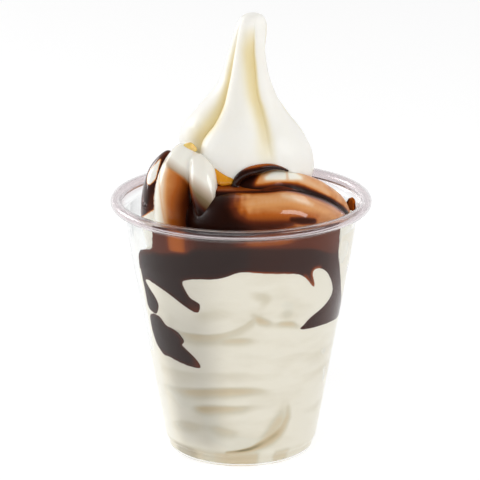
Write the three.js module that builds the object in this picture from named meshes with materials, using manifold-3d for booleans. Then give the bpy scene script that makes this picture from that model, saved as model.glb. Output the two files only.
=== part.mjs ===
// A soft-serve sundae with fudge sauce in a clear plastic cup with a rolled rim.
// Millimetres, +Z up. The origin is the centre of the circle that the cup stands on.
// Azimuths are in degrees about +Z, from the front (-Y) towards the right (+X).
import * as THREE from "three";
import { mergeVertices } from "three/addons/utils/BufferGeometryUtils.js";
import Module from "manifold-3d";

const wasm = await Module();
wasm.setup();

// ---- driving dimensions: the cup ----------------------------------------------------------
const CUP_HEIGHT = 92.5;
const RIM_RADIUS = 46;
const SHEET = 0.6; // thickness of the plastic
const BEAD_RADIUS = 1.6; // of the rolled edge, at the middle of the sheet
const BEAD_TURN = 320; // degrees that the sheet rolls round
const FOOT_RADIUS = 25.6;
const FOOT_CORNER = 1.6;
const FOOT_HEIGHT = 4.6;
const FOOT_STEP = 1; // height of the step from the foot out to the wall
const PUNT_HEIGHT = 2.2; // how far the middle of the base is raised
const PUNT_RADIUS = 18.5;
const RING_RADIUS = 21.5; // inner edge of the flat ring that the cup stands on
const WALL_FOOT_RADIUS = 26.85; // outside of the wall just above its foot
const WALL_TAPER = 0.178; // growth of the wall's radius for each millimetre of height
const BAND_HEIGHT = 72; // above this the wall is a steeper band
const BAND_TAPER = 0.145;
const BAND_TOP = 86;
const CUP_SEGMENTS = 32;

// ---- driving dimensions: what fills it ----------------------------------------------------
const GAP = 0.3; // clearance between neighbouring pieces
const SLIVER = 0.05; // edges and bumps under this size are smoothed away after a cut
const FILL_ROWS = 14;
const COIL_PITCH = 9.5; // height of one turn of soft serve pressed against the wall
const COIL_DEPTH = 1.3; // depth of the crease between two turns
const COIL_SHARPNESS = 5;

const SAUCE_FLOOR = 70.8; // mean height of the sauce layer's underside
const SAUCE_TOP = 83; // mean height of its top
const SIDE_RECESS = 5.2; // how far the layer stays off the wall at the left and the right
const RECESS_START = 72;
const RECESS_FULL = 76;
const RUN_INSET = 0.4; // from the room's edge to the middle of a run down the wall
const RUN_DEPTH = 2.2;

const PEAK_TOP = 157.3;
const PEAK_BASE = 86;
const FLUTES = 6;
const FLUTE_DEPTH = 0.24; // as a share of the peak's radius
const FLUTE_AZIMUTH = 22; // of the groove that faces the front
const PEAK_SEGMENTS = 30;
const PEAK_ROWS = 16;

// ---- colours and finishes -----------------------------------------------------------------
const clearPlastic = new THREE.MeshStandardMaterial({
  color: 0xe9edf0, roughness: 0.08, metalness: 0, transparent: true, opacity: 0.3,
});
const softServe = new THREE.MeshStandardMaterial({ color: 0xf1ede0, roughness: 0.5, metalness: 0 });
const coatedServe = new THREE.MeshStandardMaterial({ color: 0xc98f5c, roughness: 0.3, metalness: 0 });
const fudge = new THREE.MeshStandardMaterial({ color: 0x2c0e07, roughness: 0.15, metalness: 0 });

// ---- solids -------------------------------------------------------------------------------
// A closed geometry as a manifold-3d solid.
function solidOf(geometry) {
  const bare = geometry.clone();
  bare.deleteAttribute("normal");
  bare.deleteAttribute("uv");
  const merged = mergeVertices(bare, 1e-3);
  return new wasm.Manifold(new wasm.Mesh({
    numProp: 3,
    vertProperties: new Float32Array(merged.attributes.position.array),
    triVerts: new Uint32Array(merged.index.array),
  }));
}

function geometryOf(solid) {
  const mesh = solid.getMesh();
  const positions = new Float32Array(mesh.numVert * 3);
  for (let i = 0; i < mesh.numVert; i++) {
    positions.set(mesh.vertProperties.subarray(i * mesh.numProp, i * mesh.numProp + 3), i * 3);
  }
  return new THREE.BufferGeometry()
    .setAttribute("position", new THREE.BufferAttribute(positions, 3))
    .setIndex(new THREE.BufferAttribute(new Uint32Array(mesh.triVerts), 1));
}

// The largest body of a solid, without the crumbs and slivers that a cut can leave.
function largestBody(solid) {
  const largest = solid.decompose().reduce((a, b) => (b.volume() > a.volume() ? b : a));
  return largest.simplify(SLIVER);
}

const joined = (solids) => solids.reduce((a, b) => a.add(b));

// Passes each vertex of a geometry to move, which may shift it.
function moveVertices(geometry, move) {
  const position = geometry.attributes.position;
  const vertex = new THREE.Vector3();
  for (let i = 0; i < position.count; i++) {
    vertex.fromBufferAttribute(position, i);
    move(vertex);
    position.setXYZ(i, vertex.x, vertex.y, vertex.z);
  }
  return geometry;
}

// ---- round the axis -----------------------------------------------------------------------
const { clamp, degToRad, lerp, smoothstep } = THREE.MathUtils;
const v2 = (x, y) => new THREE.Vector2(x, y);

// A lathe about +Z.
function turned(profile, segments) {
  return new THREE.LatheGeometry(profile, segments).rotateX(Math.PI / 2);
}

const azimuthOf = (point) => Math.atan2(point.x, -point.y);
const radiusOf = (point) => Math.hypot(point.x, point.y);

function polar(degrees, radius, z) {
  const azimuth = degToRad(degrees);
  return new THREE.Vector3(Math.sin(azimuth) * radius, -Math.cos(azimuth) * radius, z);
}

function setRadius(vertex, radius) {
  const scale = radius / Math.max(radiusOf(vertex), 1e-6);
  vertex.x *= scale;
  vertex.y *= scale;
}

// ---- the cup ------------------------------------------------------------------------------
// Outside radius of the plain wall at a height.
function wallRadius(z) {
  const plain = WALL_FOOT_RADIUS + WALL_TAPER * (clamp(z, FOOT_HEIGHT, BAND_HEIGHT) - FOOT_HEIGHT);
  return plain + BAND_TAPER * Math.max(0, z - BAND_HEIGHT);
}

function arc(x, y, radius, fromDegrees, toDegrees, steps) {
  const clockwise = toDegrees < fromDegrees;
  const angles = [degToRad(fromDegrees), degToRad(toDegrees)];
  return new THREE.EllipseCurve(x, y, radius, radius, ...angles, clockwise).getPoints(steps);
}

// The middle line of the sheet, from the centre of the base to the end of the rolled edge.
function sheetLine() {
  const half = SHEET / 2;
  const corner = v2(FOOT_RADIUS - half - FOOT_CORNER, half + FOOT_CORNER);
  const bead = v2(RIM_RADIUS - BEAD_RADIUS - half, CUP_HEIGHT - BEAD_RADIUS - half);
  return [
    v2(0, PUNT_HEIGHT + half),
    v2(PUNT_RADIUS, PUNT_HEIGHT + half),
    v2(RING_RADIUS, half),
    ...arc(corner.x, corner.y, FOOT_CORNER, -90, 0, 2),
    v2(FOOT_RADIUS - half + 0.2, FOOT_HEIGHT - FOOT_STEP),
    ...[FOOT_HEIGHT, BAND_HEIGHT, BAND_TOP].map((z) => v2(wallRadius(z) - half, z)),
    ...arc(bead.x, bead.y, BEAD_RADIUS, 180, 180 - BEAD_TURN, 8),
  ];
}

// A closed outline of even thickness round a line.
function thickened(line, thickness) {
  const normals = line.slice(1).map((point, i) => {
    const along = point.clone().sub(line[i]).normalize();
    return v2(-along.y, along.x);
  });
  const offsets = line.map((point, i) => {
    const before = normals[Math.max(i - 1, 0)];
    const after = normals[Math.min(i, normals.length - 1)];
    const mitre = before.clone().add(after).normalize();
    return mitre.multiplyScalar(thickness / 2 / mitre.dot(before));
  });
  const below = line.map((point, i) => point.clone().sub(offsets[i]));
  const above = line.map((point, i) => point.clone().add(offsets[i]));
  return [...below, ...above.reverse()];
}

const makeCup = () => solidOf(turned(thickened(sheetLine(), SHEET), CUP_SEGMENTS));

// Radius of the space inside the wall, kept clear of it and of its flat facets.
function roomRadius(z) {
  const clear = wallRadius(z) - SHEET - GAP;
  return z < FOOT_HEIGHT ? clear - (WALL_FOOT_RADIUS - FOOT_RADIUS) : clear;
}

// The space inside the cup for what fills it, carried on above the rim as a tall cylinder.
function makeRoom() {
  const floor = PUNT_HEIGHT + SHEET + GAP;
  const top = PEAK_TOP + 10;
  return solidOf(turned([
    v2(0, floor),
    ...[FOOT_HEIGHT + GAP, BAND_HEIGHT, BAND_TOP].map((z) => v2(roomRadius(z), z)),
    v2(roomRadius(BAND_TOP), top),
    v2(0, top),
  ], CUP_SEGMENTS));
}

// ---- rolls of soft serve and runs of sauce ------------------------------------------------
// A closed, tapering roll along a smooth line of stations. Each station is a place with two
// half widths: one in the direction that facing gives and one across it.
function makeRoll({ stations, facing, fullness = 0.6, rounds = 14, steps = 12 }, grow = 0) {
  const line = new THREE.CatmullRomCurve3(stations.map((s) => s.place), false, "centripetal");
  const widths = new THREE.SplineCurve(stations.map((s) => v2(s.deep, s.wide)));
  const centre = new THREE.Vector3();
  const along = new THREE.Vector3();
  const across = new THREE.Vector3();
  const geometry = new THREE.SphereGeometry(1, rounds, steps);
  return solidOf(moveVertices(geometry, (vertex) => {
    const { x, y, z } = vertex;
    const share = clamp((1 - y) / 2, 0, 1);
    const round = Math.max(Math.hypot(x, z), 1e-6);
    const bulge = round ** (fullness - 1);
    const width = widths.getPoint(share);
    line.getPoint(share, centre);
    line.getTangent(share, along);
    const faced = facing(centre);
    faced.addScaledVector(along, -faced.dot(along)).normalize();
    across.crossVectors(along, faced);
    vertex.copy(centre)
      .addScaledVector(faced, x * bulge * (width.x + grow))
      .addScaledVector(across, z * bulge * (width.y + grow))
      .addScaledVector(along, -y * grow);
  }));
}

const upward = () => new THREE.Vector3(0, 0, 1);
const outward = (point) => new THREE.Vector3(point.x, point.y, 0).normalize();

// A station of a roll: azimuth, radius and height above the rim, then its two half widths.
const station = (degrees, radius, height, deep, wide) => (
  { place: polar(degrees, radius, CUP_HEIGHT + height), deep, wide }
);

// The big coated roll at the front right, which dives under the rim at both ends.
const FRONT_ROLL = {
  facing: upward,
  stations: [
    station(-20, 26, -7.5, 7, 8),
    station(7, 25, -4, 11, 12),
    station(35, 26.5, -2, 11.5, 12.5),
    station(62, 30, -4.5, 9, 8.5),
    station(79, 34, -7.5, 5.5, 5.5),
  ],
};

// The narrower roll behind it, at the foot of the peak.
const BACK_ROLL = {
  facing: upward,
  stations: [
    station(-12, 17, 3, 6, 6),
    station(14, 16, 7, 9, 9),
    station(42, 17.5, 6, 9.5, 9),
    station(66, 25.5, 1, 8, 8),
    station(83, 31, -5.5, 6, 5.5),
  ],
};

// The upright outer petal of the curl at the left, which leans in towards the peak.
const LEFT_PETAL = {
  facing: outward,
  stations: [
    station(-55, 28, -14, 7, 8),
    station(-65, 30, -3, 8.3, 9),
    station(-69, 27.5, 8.5, 8.6, 8.5),
    station(-69, 21, 20, 5.5, 6),
  ],
};

// The rounded inner fold of the same curl.
const LEFT_FOLD = {
  facing: outward,
  stations: [
    station(-29, 23, -10, 4.5, 4.5),
    station(-31, 23.5, 1, 5.8, 5.8),
    station(-39, 22, 12, 6, 6),
    station(-50, 20, 20, 4, 4),
  ],
};

const REAR_ROLL = {
  facing: upward,
  stations: [
    station(138, 30, -8, 6, 6),
    station(160, 27.5, -4, 10, 10),
    station(192, 26.5, -3, 11, 11),
    station(226, 27, -5, 9, 9),
    station(250, 28, -8, 5, 5),
  ],
};

// The mound of sauce between the curl and the front roll, from the peak's foot to the wall.
const SAUCE_MOUND = {
  facing: upward,
  stations: [
    station(-12, 12, 5, 5, 8),
    station(-12, 22, 2, 8, 9),
    station(-14, 32, -5, 7, 9),
    station(-16, 36, -12, 4, 6),
  ],
};

// ---- the peak -----------------------------------------------------------------------------
// Stations up the peak: height, radius, and the place of its middle.
const PEAK_STATIONS = [
  [PEAK_BASE, 18, 3, 3],
  [97, 22.5, 3.2, 2.5],
  [105, 22.8, 2.9, 2],
  [111, 21.2, 2.2, 1.5],
  [118, 16.8, 1.2, 1],
  [126, 12, 1, 0.6],
  [136, 8.1, 1.8, 0.3],
  [145, 5.9, 2.8, 0],
  [152, 5.2, 3.7, 0],
  [PEAK_TOP - 1.6, 3, 4.1, 0],
].map(([z, radius, x, y]) => ({ z, radius, middle: new THREE.Vector3(x, y, 0) }));

// How deep in a groove an azimuth lies, from 0 on a flute's crest to 1 in the groove.
function grooveShare(azimuth) {
  const wave = Math.abs(Math.sin((FLUTES / 2) * (azimuth - degToRad(FLUTE_AZIMUTH))));
  return 1 - wave ** 0.7;
}

function makePeak(grow = 0) {
  const last = PEAK_STATIONS.length - 1;
  const outline = new THREE.SplineCurve(PEAK_STATIONS.map((s) => v2(s.radius, s.z)));
  const middles = new THREE.CatmullRomCurve3(PEAK_STATIONS.map((s) => s.middle));
  const rows = [...Array(PEAK_ROWS + 1).keys()].map((i) => i / PEAK_ROWS);
  const profile = rows.map((share) => outline.getPoint(share).add(v2(grow, 0)));
  const middleAt = (z) => {
    const next = clamp(PEAK_STATIONS.findIndex((s) => s.z > z), 1, last);
    const low = PEAK_STATIONS[next - 1].z;
    const part = clamp((z - low) / (PEAK_STATIONS[next].z - low), 0, 1);
    return middles.getPoint(z < PEAK_STATIONS[last].z ? (next - 1 + part) / last : 1);
  };
  const closed = [v2(0, PEAK_BASE - grow), ...profile, v2(0, PEAK_TOP + grow)];
  closed[1].y -= grow;
  return solidOf(moveVertices(turned(closed, PEAK_SEGMENTS), (vertex) => {
    const share = clamp((vertex.z - PEAK_BASE) / (PEAK_TOP - PEAK_BASE), 0, 1);
    const fade = smoothstep(share, 0.1, 0.4) * (1 - smoothstep(share, 0.92, 1));
    const depth = FLUTE_DEPTH * fade * grooveShare(azimuthOf(vertex));
    setRadius(vertex, radiusOf(vertex) * (1 - depth));
    vertex.add(middleAt(vertex.z));
  }));
}

// ---- the sauce layer and the soft serve under it ------------------------------------------
// Height of the surface between them: highest at the front, lowest at the two sides.
function sauceFloor(azimuth, radius) {
  const wave = 2.4 * Math.cos(azimuth) + 1.6 * Math.cos(3 * azimuth) + 0.7 * Math.sin(2 * azimuth);
  return SAUCE_FLOOR + wave * smoothstep(radius, 0, 32);
}

function sideRecess(azimuth, z) {
  return SIDE_RECESS * smoothstep(Math.abs(Math.sin(azimuth)), 0.72, 0.97)
    * smoothstep(z, RECESS_START, RECESS_FULL);
}

// Rings that both sides of that surface share, so that they stay parallel.
const INNER_RINGS = [12, 22, 30];

function makeSauceLayer() {
  const sideRows = 5;
  const shares = [...Array(sideRows + 1).keys()].map((i) => i / sideRows);
  const profile = [
    v2(0, 0),
    ...INNER_RINGS.map((radius) => v2(radius, 0)),
    ...shares.map((share) => v2(RIM_RADIUS, share)),
    v2(0, 1),
  ];
  return solidOf(moveVertices(turned(profile, CUP_SEGMENTS), (vertex) => {
    const azimuth = azimuthOf(vertex);
    const radius = radiusOf(vertex);
    vertex.z = lerp(sauceFloor(azimuth, radius), SAUCE_TOP, vertex.z);
    if (radius > RIM_RADIUS - 1) setRadius(vertex, roomRadius(vertex.z) - sideRecess(azimuth, vertex.z));
  }));
}

// The turns press flat against the wall, and the crease between two turns rises as it goes round.
function coilCrease(azimuth, z) {
  const turns = z / COIL_PITCH - azimuth / (2 * Math.PI);
  return Math.abs(Math.cos(Math.PI * turns)) ** COIL_SHARPNESS;
}

function makeFill() {
  const floor = PUNT_HEIGHT + SHEET + GAP;
  const shares = [...Array(FILL_ROWS + 1).keys()].map((i) => i / FILL_ROWS);
  const profile = [
    v2(0, 0),
    ...shares.map((share) => v2(RIM_RADIUS, share)),
    ...INNER_RINGS.map((radius) => v2(radius, 1)).reverse(),
    v2(0, 1),
  ];
  return solidOf(moveVertices(turned(profile, CUP_SEGMENTS), (vertex) => {
    const azimuth = azimuthOf(vertex);
    const radius = radiusOf(vertex);
    const atWall = radius > RIM_RADIUS - 1;
    const bottom = atWall ? FOOT_HEIGHT + GAP : floor;
    vertex.z = lerp(bottom, sauceFloor(azimuth, radius) - GAP, vertex.z);
    const fade = smoothstep(vertex.z, FOOT_HEIGHT, FOOT_HEIGHT + 4);
    if (atWall) setRadius(vertex, roomRadius(vertex.z) - fade * COIL_DEPTH * coilCrease(azimuth, vertex.z));
  }));
}

// A run of sauce down the inside of the wall. Each stop is an azimuth, a height and a half width.
const wallRun = (...stops) => ({
  facing: outward,
  rounds: 8,
  steps: 7,
  stations: stops.map(([degrees, z, wide]) => (
    { place: polar(degrees, roomRadius(z) - RUN_INSET, z), deep: Math.min(RUN_DEPTH, 0.8 + wide / 2), wide }
  )),
});

const WALL_RUNS = [
  wallRun([-68, 72, 6], [-68, 62, 5], [-57, 51, 7], [-43, 44, 5], [-29, 38.5, 1]),
  wallRun([-42, 73, 7], [-33, 67, 4], [-24, 61.5, 1.5]),
  wallRun([38, 76, 5], [43, 71, 2.5], [45, 67, 0.8]),
  wallRun([74, 73, 4.5], [71, 63, 3.2], [62, 55, 4], [50, 53, 2.8], [38, 52.5, 0.8]),
  wallRun([158, 74, 6], [166, 64, 4], [170, 55, 1.4]),
  wallRun([-140, 74, 7], [-132, 62, 5], [-120, 50, 4], [-110, 43, 1.2]),
  wallRun([120, 74, 5], [124, 66, 3], [126, 60, 1]),
];

// ---- assembly -----------------------------------------------------------------------------
const sundae = new THREE.Group();

function addPiece(name, solid, material) {
  const mesh = new THREE.Mesh(geometryOf(solid), material);
  mesh.name = name;
  sundae.add(mesh);
}

const rollMaker = (roll) => (grow) => makeRoll(roll, grow);

// The pieces above the sauce layer, in the order in which they take their room.
const upperPieces = [
  ["front_roll", rollMaker(FRONT_ROLL), coatedServe],
  ["left_petal", rollMaker(LEFT_PETAL), softServe],
  ["left_fold", rollMaker(LEFT_FOLD), softServe],
  ["back_roll", rollMaker(BACK_ROLL), coatedServe],
  ["peak", makePeak, softServe],
  ["rear_roll", rollMaker(REAR_ROLL), softServe],
];

addPiece("cup", makeCup(), clearPlastic);

const room = makeRoom();
let taken = solidOf(new THREE.BoxGeometry(1, 1, 1).translate(0, 0, -CUP_HEIGHT));
for (const [name, make, material] of upperPieces) {
  addPiece(name, largestBody(make(0).intersect(room).subtract(taken)), material);
  taken = taken.add(make(GAP));
}

const runs = joined([makeRoll(SAUCE_MOUND), ...WALL_RUNS.map((r) => makeRoll(r))]).intersect(room);
addPiece("fudge_sauce", largestBody(makeSauceLayer().add(runs).subtract(taken)), fudge);

const runRoom = joined(WALL_RUNS.map((r) => makeRoll(r, GAP)));
addPiece("cup_soft_serve", largestBody(makeFill().subtract(runRoom)), softServe);

export default sundae;
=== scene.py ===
"""A soft-serve sundae with fudge sauce in a clear plastic cup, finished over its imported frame."""
import math

import bmesh
import bpy
import numpy as np
from bpy.props import FloatProperty, FloatVectorProperty, IntProperty, PointerProperty
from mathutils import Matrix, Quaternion, Vector


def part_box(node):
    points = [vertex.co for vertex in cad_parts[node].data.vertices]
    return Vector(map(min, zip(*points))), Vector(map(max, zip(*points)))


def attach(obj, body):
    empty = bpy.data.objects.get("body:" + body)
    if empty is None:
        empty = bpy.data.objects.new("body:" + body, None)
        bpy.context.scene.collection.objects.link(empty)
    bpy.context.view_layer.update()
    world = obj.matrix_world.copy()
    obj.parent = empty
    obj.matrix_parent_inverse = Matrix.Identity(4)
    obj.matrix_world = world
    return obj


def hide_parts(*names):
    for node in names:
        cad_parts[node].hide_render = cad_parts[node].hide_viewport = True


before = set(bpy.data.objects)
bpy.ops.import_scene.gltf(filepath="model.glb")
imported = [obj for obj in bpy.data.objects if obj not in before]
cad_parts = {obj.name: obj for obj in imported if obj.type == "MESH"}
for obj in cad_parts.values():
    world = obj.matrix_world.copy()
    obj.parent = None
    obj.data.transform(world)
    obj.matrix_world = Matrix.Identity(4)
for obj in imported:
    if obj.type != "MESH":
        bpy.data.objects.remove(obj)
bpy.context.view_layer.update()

bl_info = {
    "name": "Soft-serve sundae",
    "version": (1, 0, 0),
    "blender": (4, 5, 0),
    "location": "3D View > Sidebar > Sundae",
    "description": "Builds a soft-serve sundae with fudge sauce in a clear cup, piece by piece",
    "category": "Add Mesh",
}

CUP_LOW, CUP_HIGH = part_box("cup")
_, PEAK_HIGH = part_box("peak")
BODY = "root"
MM = 1000.0  # shapes are worked out in millimetres and written in metres
TURN = 2 * math.pi


# ---- sizes and colours that a user would change ------------------------------------------------
def length(name, description, default):
    return FloatProperty(name=name, description=description, default=default, min=0, unit="LENGTH", precision=4)


def colour(name, description, default):
    return FloatVectorProperty(
        name=name, description=description, default=default, size=3, min=0, max=1, subtype="COLOR_GAMMA"
    )


class SundaeCupSizes(bpy.types.PropertyGroup):
    height: length("Height", "From the table to the top of the rolled edge", CUP_HIGH.z)
    rim_radius: length("Rim radius", "To the outside of the rolled edge", (CUP_HIGH.x - CUP_LOW.x) / 2)
    sheet: length("Sheet", "Thickness of the plastic", 0.0006)
    bead_radius: length("Edge roll", "Radius of the rolled edge, at the middle of the sheet", 0.0016)
    foot_radius: length("Foot radius", "To the outside of the foot", 0.0256)
    foot_height: length("Foot height", "From the table to where the wall steps out", 0.0046)
    wall_foot_radius: length("Wall radius", "Outside of the wall just above the foot", 0.02685)
    band_height: length("Band height", "Where the wall turns a little steeper", 0.072)
    punt_height: length("Punt", "How far the middle of the base is raised", 0.0022)
    segments: IntProperty(name="Segments", description="Steps round the cup", default=224, min=24, max=512)


class SundaeServeSizes(bpy.types.PropertyGroup):
    step: length("Step", "Size of the faces of the rolls and the sauce", 0.00052)
    wall_step: length("Wall step", "Size of the faces pressed against the wall", 0.00048)
    peak_steps: IntProperty(name="Peak steps", description="Faces round the peak", default=340, min=48, max=400)
    peak_height: length("Peak height", "From the table to the tip", PEAK_HIGH.z)
    crease: length("Crease", "Depth of the creases between turns pressed against the wall", 0.0012)
    seed: IntProperty(name="Seed", description="Of the small unevenness of every surface", default=7, min=0)


class SundaeColours(bpy.types.PropertyGroup):
    cream: colour("Cream", "Plain soft serve", (0.965, 0.955, 0.928))
    # hollow is a painted shade: soft serve in the shadow deep in a groove
    hollow: colour("Hollow", "Soft serve deep in a groove", (0.90, 0.83, 0.62))
    pressed: colour("Pressed", "Soft serve against the plastic", (0.965, 0.955, 0.92))
    # shaded is a painted shade on soft serve against the plastic
    shaded: colour("Shaded", "Thin or hollow soft serve against the plastic", (0.82, 0.79, 0.705))
    # crease is a painted shade: soft serve in the shadow of a crease against the plastic
    crease: colour("Crease", "Soft serve in a crease against the plastic", (0.84, 0.765, 0.63))
    caramel: colour("Caramel", "Soft serve under a thin glaze of sauce", (0.86, 0.60, 0.36))
    amber: colour("Amber", "Clear runs of the glaze", (0.70, 0.36, 0.10))
    brown: colour("Brown", "A thick glaze of sauce", (0.40, 0.165, 0.06))
    fudge: colour("Fudge", "The sauce itself", (0.135, 0.045, 0.02))
    plastic: colour("Plastic", "The clear cup", (0.985, 0.99, 0.99))


class SundaeLightSizes(bpy.types.PropertyGroup):
    lens: FloatProperty(name="Lens", description="Focal length of the camera, in millimetres", default=253.3, min=10)
    distance: length("Distance", "From the camera to the middle of the cup", 1.2)
    elevation: FloatProperty(
        name="Elevation", description="Of the camera above the table", default=math.radians(16.8), subtype="ANGLE"
    )
    floor_size: length("Floor", "Width of the floor", 12.0)


def settings():
    return bpy.context.scene.sundae


class SundaeSettings(bpy.types.PropertyGroup):
    cup: PointerProperty(type=SundaeCupSizes)
    serve: PointerProperty(type=SundaeServeSizes)
    colours: PointerProperty(type=SundaeColours)
    light: PointerProperty(type=SundaeLightSizes)


# ---- small mathematics ---------------------------------------------------------------------------
def ease(low, high, value):
    """0 below low, 1 above high, and smooth between."""
    t = np.clip((value - low) / (high - low), 0, 1)
    return t * t * (3 - 2 * t)


def mix(a, b, share):
    return a + (b - a) * share


def plateau(value, start, full, waning, end):
    """1 from full to waning, 0 before start and after end, and smooth between."""
    return ease(start, full, value) * (1 - ease(waning, end, value))


def hill(value, middle, width, power=4):
    """1 at the middle, and near 0 beyond a width from it."""
    return np.exp(-(((value - middle) / width) ** power))


def hermite(a, b, ta, tb, t):
    """A cubic from a to b with the tangents ta and tb."""
    return a * (2 * t**3 - 3 * t**2 + 1) + ta * (t**3 - 2 * t**2 + t) + b * (3 * t**2 - 2 * t**3) + tb * (t**3 - t**2)


def along(table, value):
    """The columns of a table of (key, ...) rows at value, each smoothed with a shape-keeping cubic."""
    table = np.asarray(table, float)
    keys, columns = table[:, 0], table[:, 1:]
    order = np.argsort(keys)
    keys, columns = keys[order], columns[order]
    gaps = np.diff(keys)
    slopes = np.diff(columns, axis=0) / gaps[:, None]
    tangents = np.zeros_like(columns)
    tangents[0], tangents[-1] = slopes[0], slopes[-1]
    same = slopes[:-1] * slopes[1:] > 0
    before, after = gaps[:-1, None], gaps[1:, None]
    blended_slopes = (slopes[:-1] * after + slopes[1:] * before) / (before + after)
    tangents[1:-1] = np.where(same, blended_slopes, 0)
    value = np.clip(np.asarray(value, float), keys[0], keys[-1])
    i = np.clip(np.searchsorted(keys, value) - 1, 0, len(keys) - 2)
    t = ((value - keys[i]) / gaps[i])[..., None]
    gap = gaps[i][..., None]
    out = hermite(columns[i], columns[i + 1], tangents[i] * gap, tangents[i + 1] * gap, t)
    return [out[..., c] for c in range(out.shape[-1])]


def waves(seed, count, shortest, longest):
    """A smooth field of small bumps in space, from -1 to 1, made of plane waves."""
    rng = np.random.default_rng(seed)
    way = rng.normal(size=(count, 3))
    way /= np.linalg.norm(way, axis=1)[:, None]
    size = TURN / np.exp(rng.uniform(math.log(shortest), math.log(longest), count))
    phase = rng.uniform(0, TURN, count)
    return way * size[:, None], phase


def bumps(field, x, y, z):
    way, phase = field
    total = 0
    for (a, b, c), p in zip(way, phase):
        total = total + np.sin(a * x + b * y + c * z + p)
    return total / math.sqrt(len(phase))


def soft_min(a, b, reach):
    """The lower of two distances, rounded where they are closer than reach."""
    share = np.clip(0.5 + 0.5 * (b - a) / reach, 0, 1)
    return b + (a - b) * share - reach * share * (1 - share)


def soft_max(a, b, reach):
    return -soft_min(-a, -b, reach)


def spline(points, count):
    """A smooth line through points, as count places; every column is carried along."""
    points = np.asarray(points, float)
    gaps = np.sqrt(np.linalg.norm(np.diff(points[:, :3], axis=0), axis=1)) + 1e-9
    knots = np.concatenate([[0], np.cumsum(gaps)])
    tangents = np.gradient(points, knots, axis=0)
    at = np.linspace(0, knots[-1], count)
    i = np.clip(np.searchsorted(knots, at) - 1, 0, len(points) - 2)
    gap = (knots[i + 1] - knots[i])[:, None]
    t = ((at - knots[i]) / (knots[i + 1] - knots[i]))[:, None]
    return hermite(points[i], points[i + 1], tangents[i] * gap, tangents[i + 1] * gap, t)


def inside_outline(u, v, outline):
    """Distance to a closed outline in the plane, positive inside it."""
    outline = np.asarray(outline, float)
    nearest = np.full(np.broadcast(u, v).shape, 1e9)
    inside = np.zeros(nearest.shape, bool)
    for (ax, ay), (bx, by) in zip(outline, np.roll(outline, -1, axis=0)):
        dx, dy = bx - ax, by - ay
        t = np.clip(((u - ax) * dx + (v - ay) * dy) / (dx * dx + dy * dy + 1e-12), 0, 1)
        nearest = np.minimum(nearest, (u - ax - t * dx) ** 2 + (v - ay - t * dy) ** 2)
        crosses = (ay > v) != (by > v)
        inside ^= crosses & (u < (bx - ax) * (v - ay) / (by - ay + 1e-12) + ax)
    return np.where(inside, 1, -1) * np.sqrt(nearest)


def rounded(outline, passes=2):
    """An outline with its corners cut finer and finer."""
    outline = np.asarray(outline, float)
    for _ in range(passes):
        after = np.roll(outline, -1, axis=0)
        outline = np.stack([outline * 0.75 + after * 0.25, outline * 0.25 + after * 0.75], axis=1).reshape(-1, 2)
    return outline


# ---- round the axis --------------------------------------------------------------------------------
def place(degrees, radius, z):
    """A point by its azimuth from the front (-Y) towards the right (+X), its radius and its height."""
    a = math.radians(degrees)
    return (math.sin(a) * radius, -math.cos(a) * radius, z)


def azimuth_of(x, y):
    return np.degrees(np.arctan2(x, -y))


WALL_FLARE, BAND_FLARE = 0.178, 0.145  # growth of the radius with height, below and in the band under the rim


def wall_radius(z):
    """Outside radius of the plain wall at a height, in millimetres."""
    cup = settings().cup
    foot, band = cup.foot_height * MM, cup.band_height * MM
    plain = WALL_FLARE * (np.clip(z, foot, band) - foot)
    return cup.wall_foot_radius * MM + plain + BAND_FLARE * np.maximum(0, z - band)


def inner_radius(z):
    return wall_radius(z) - settings().cup.sheet * MM


def rim_height():
    return settings().cup.height * MM


INTO_WALL = 0.16  # how far a filling reaches into the plastic, so that no air shows between them


# ---- meshes ----------------------------------------------------------------------------------------
def new_piece(name, verts, faces, material):
    """A smooth mesh object at the origin, from points in millimetres."""
    mesh = bpy.data.meshes.new(name)
    verts = np.asarray(verts, np.float32) / MM
    mesh.from_pydata(verts.tolist(), [], faces.tolist() if isinstance(faces, np.ndarray) else faces)
    mesh.validate(clean_customdata=False)
    mesh.update()
    mesh.polygons.foreach_set("use_smooth", np.ones(len(mesh.polygons), bool))
    piece = bpy.data.objects.new(name, mesh)
    bpy.context.scene.collection.objects.link(piece)
    mesh.materials.append(material)
    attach(piece, BODY)
    return piece


def set_values(piece, **columns):
    """Stores one number for each vertex under each name."""
    for name, values in columns.items():
        attribute = piece.data.attributes.new(name, "FLOAT", "POINT")
        attribute.data.foreach_set("value", np.asarray(values, np.float32))


def ring_cells(rows, across):
    """The four corners of each cell of a grid of points whose rows close into rings."""
    index = np.arange(rows * across).reshape(rows, across)
    after = np.roll(index, -1, axis=1)
    return np.stack([index[:-1], after[:-1], after[1:], index[1:]], axis=-1)


def capped_skin(grid, low_end, high_end):
    """Points and faces of a closed skin over rings of points, from the bottom to the top, with a point at each end."""
    rings, across = grid.shape[:2]
    cells = ring_cells(rings, across)
    low, high = rings * across, rings * across + 1
    faces = cells.reshape(-1, 4).tolist()
    faces += [(low, b, a) for a, b in cells[0, :, [0, 1]].T.tolist()]
    faces += [(high, a, b) for a, b in cells[-1, :, [3, 2]].T.tolist()]
    return np.concatenate([grid.reshape(-1, 3), [low_end, high_end]]), faces


def slab(outer, inner, keep):
    """A closed solid between two grids of points, over the cells that keep marks; columns close on themselves."""
    rows, across = outer.shape[:2]
    behind = rows * across
    front = ring_cells(rows, across)[keep]
    back = front[:, ::-1] + behind
    edges = np.concatenate([front[:, [a, (a + 1) % 4]] for a in range(4)])
    key = edges[:, 0] * behind + edges[:, 1]
    mirror = edges[:, 1] * behind + edges[:, 0]
    border = edges[~np.isin(key, mirror)]
    sides = np.stack([border[:, 1], border[:, 0], border[:, 0] + behind, border[:, 1] + behind], axis=-1)
    quads = np.concatenate([front, back, sides])
    verts = np.concatenate([outer.reshape(-1, 3), inner.reshape(-1, 3)])
    used, flat = np.unique(quads, return_inverse=True)
    return verts[used], flat.reshape(-1, 4), used


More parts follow.
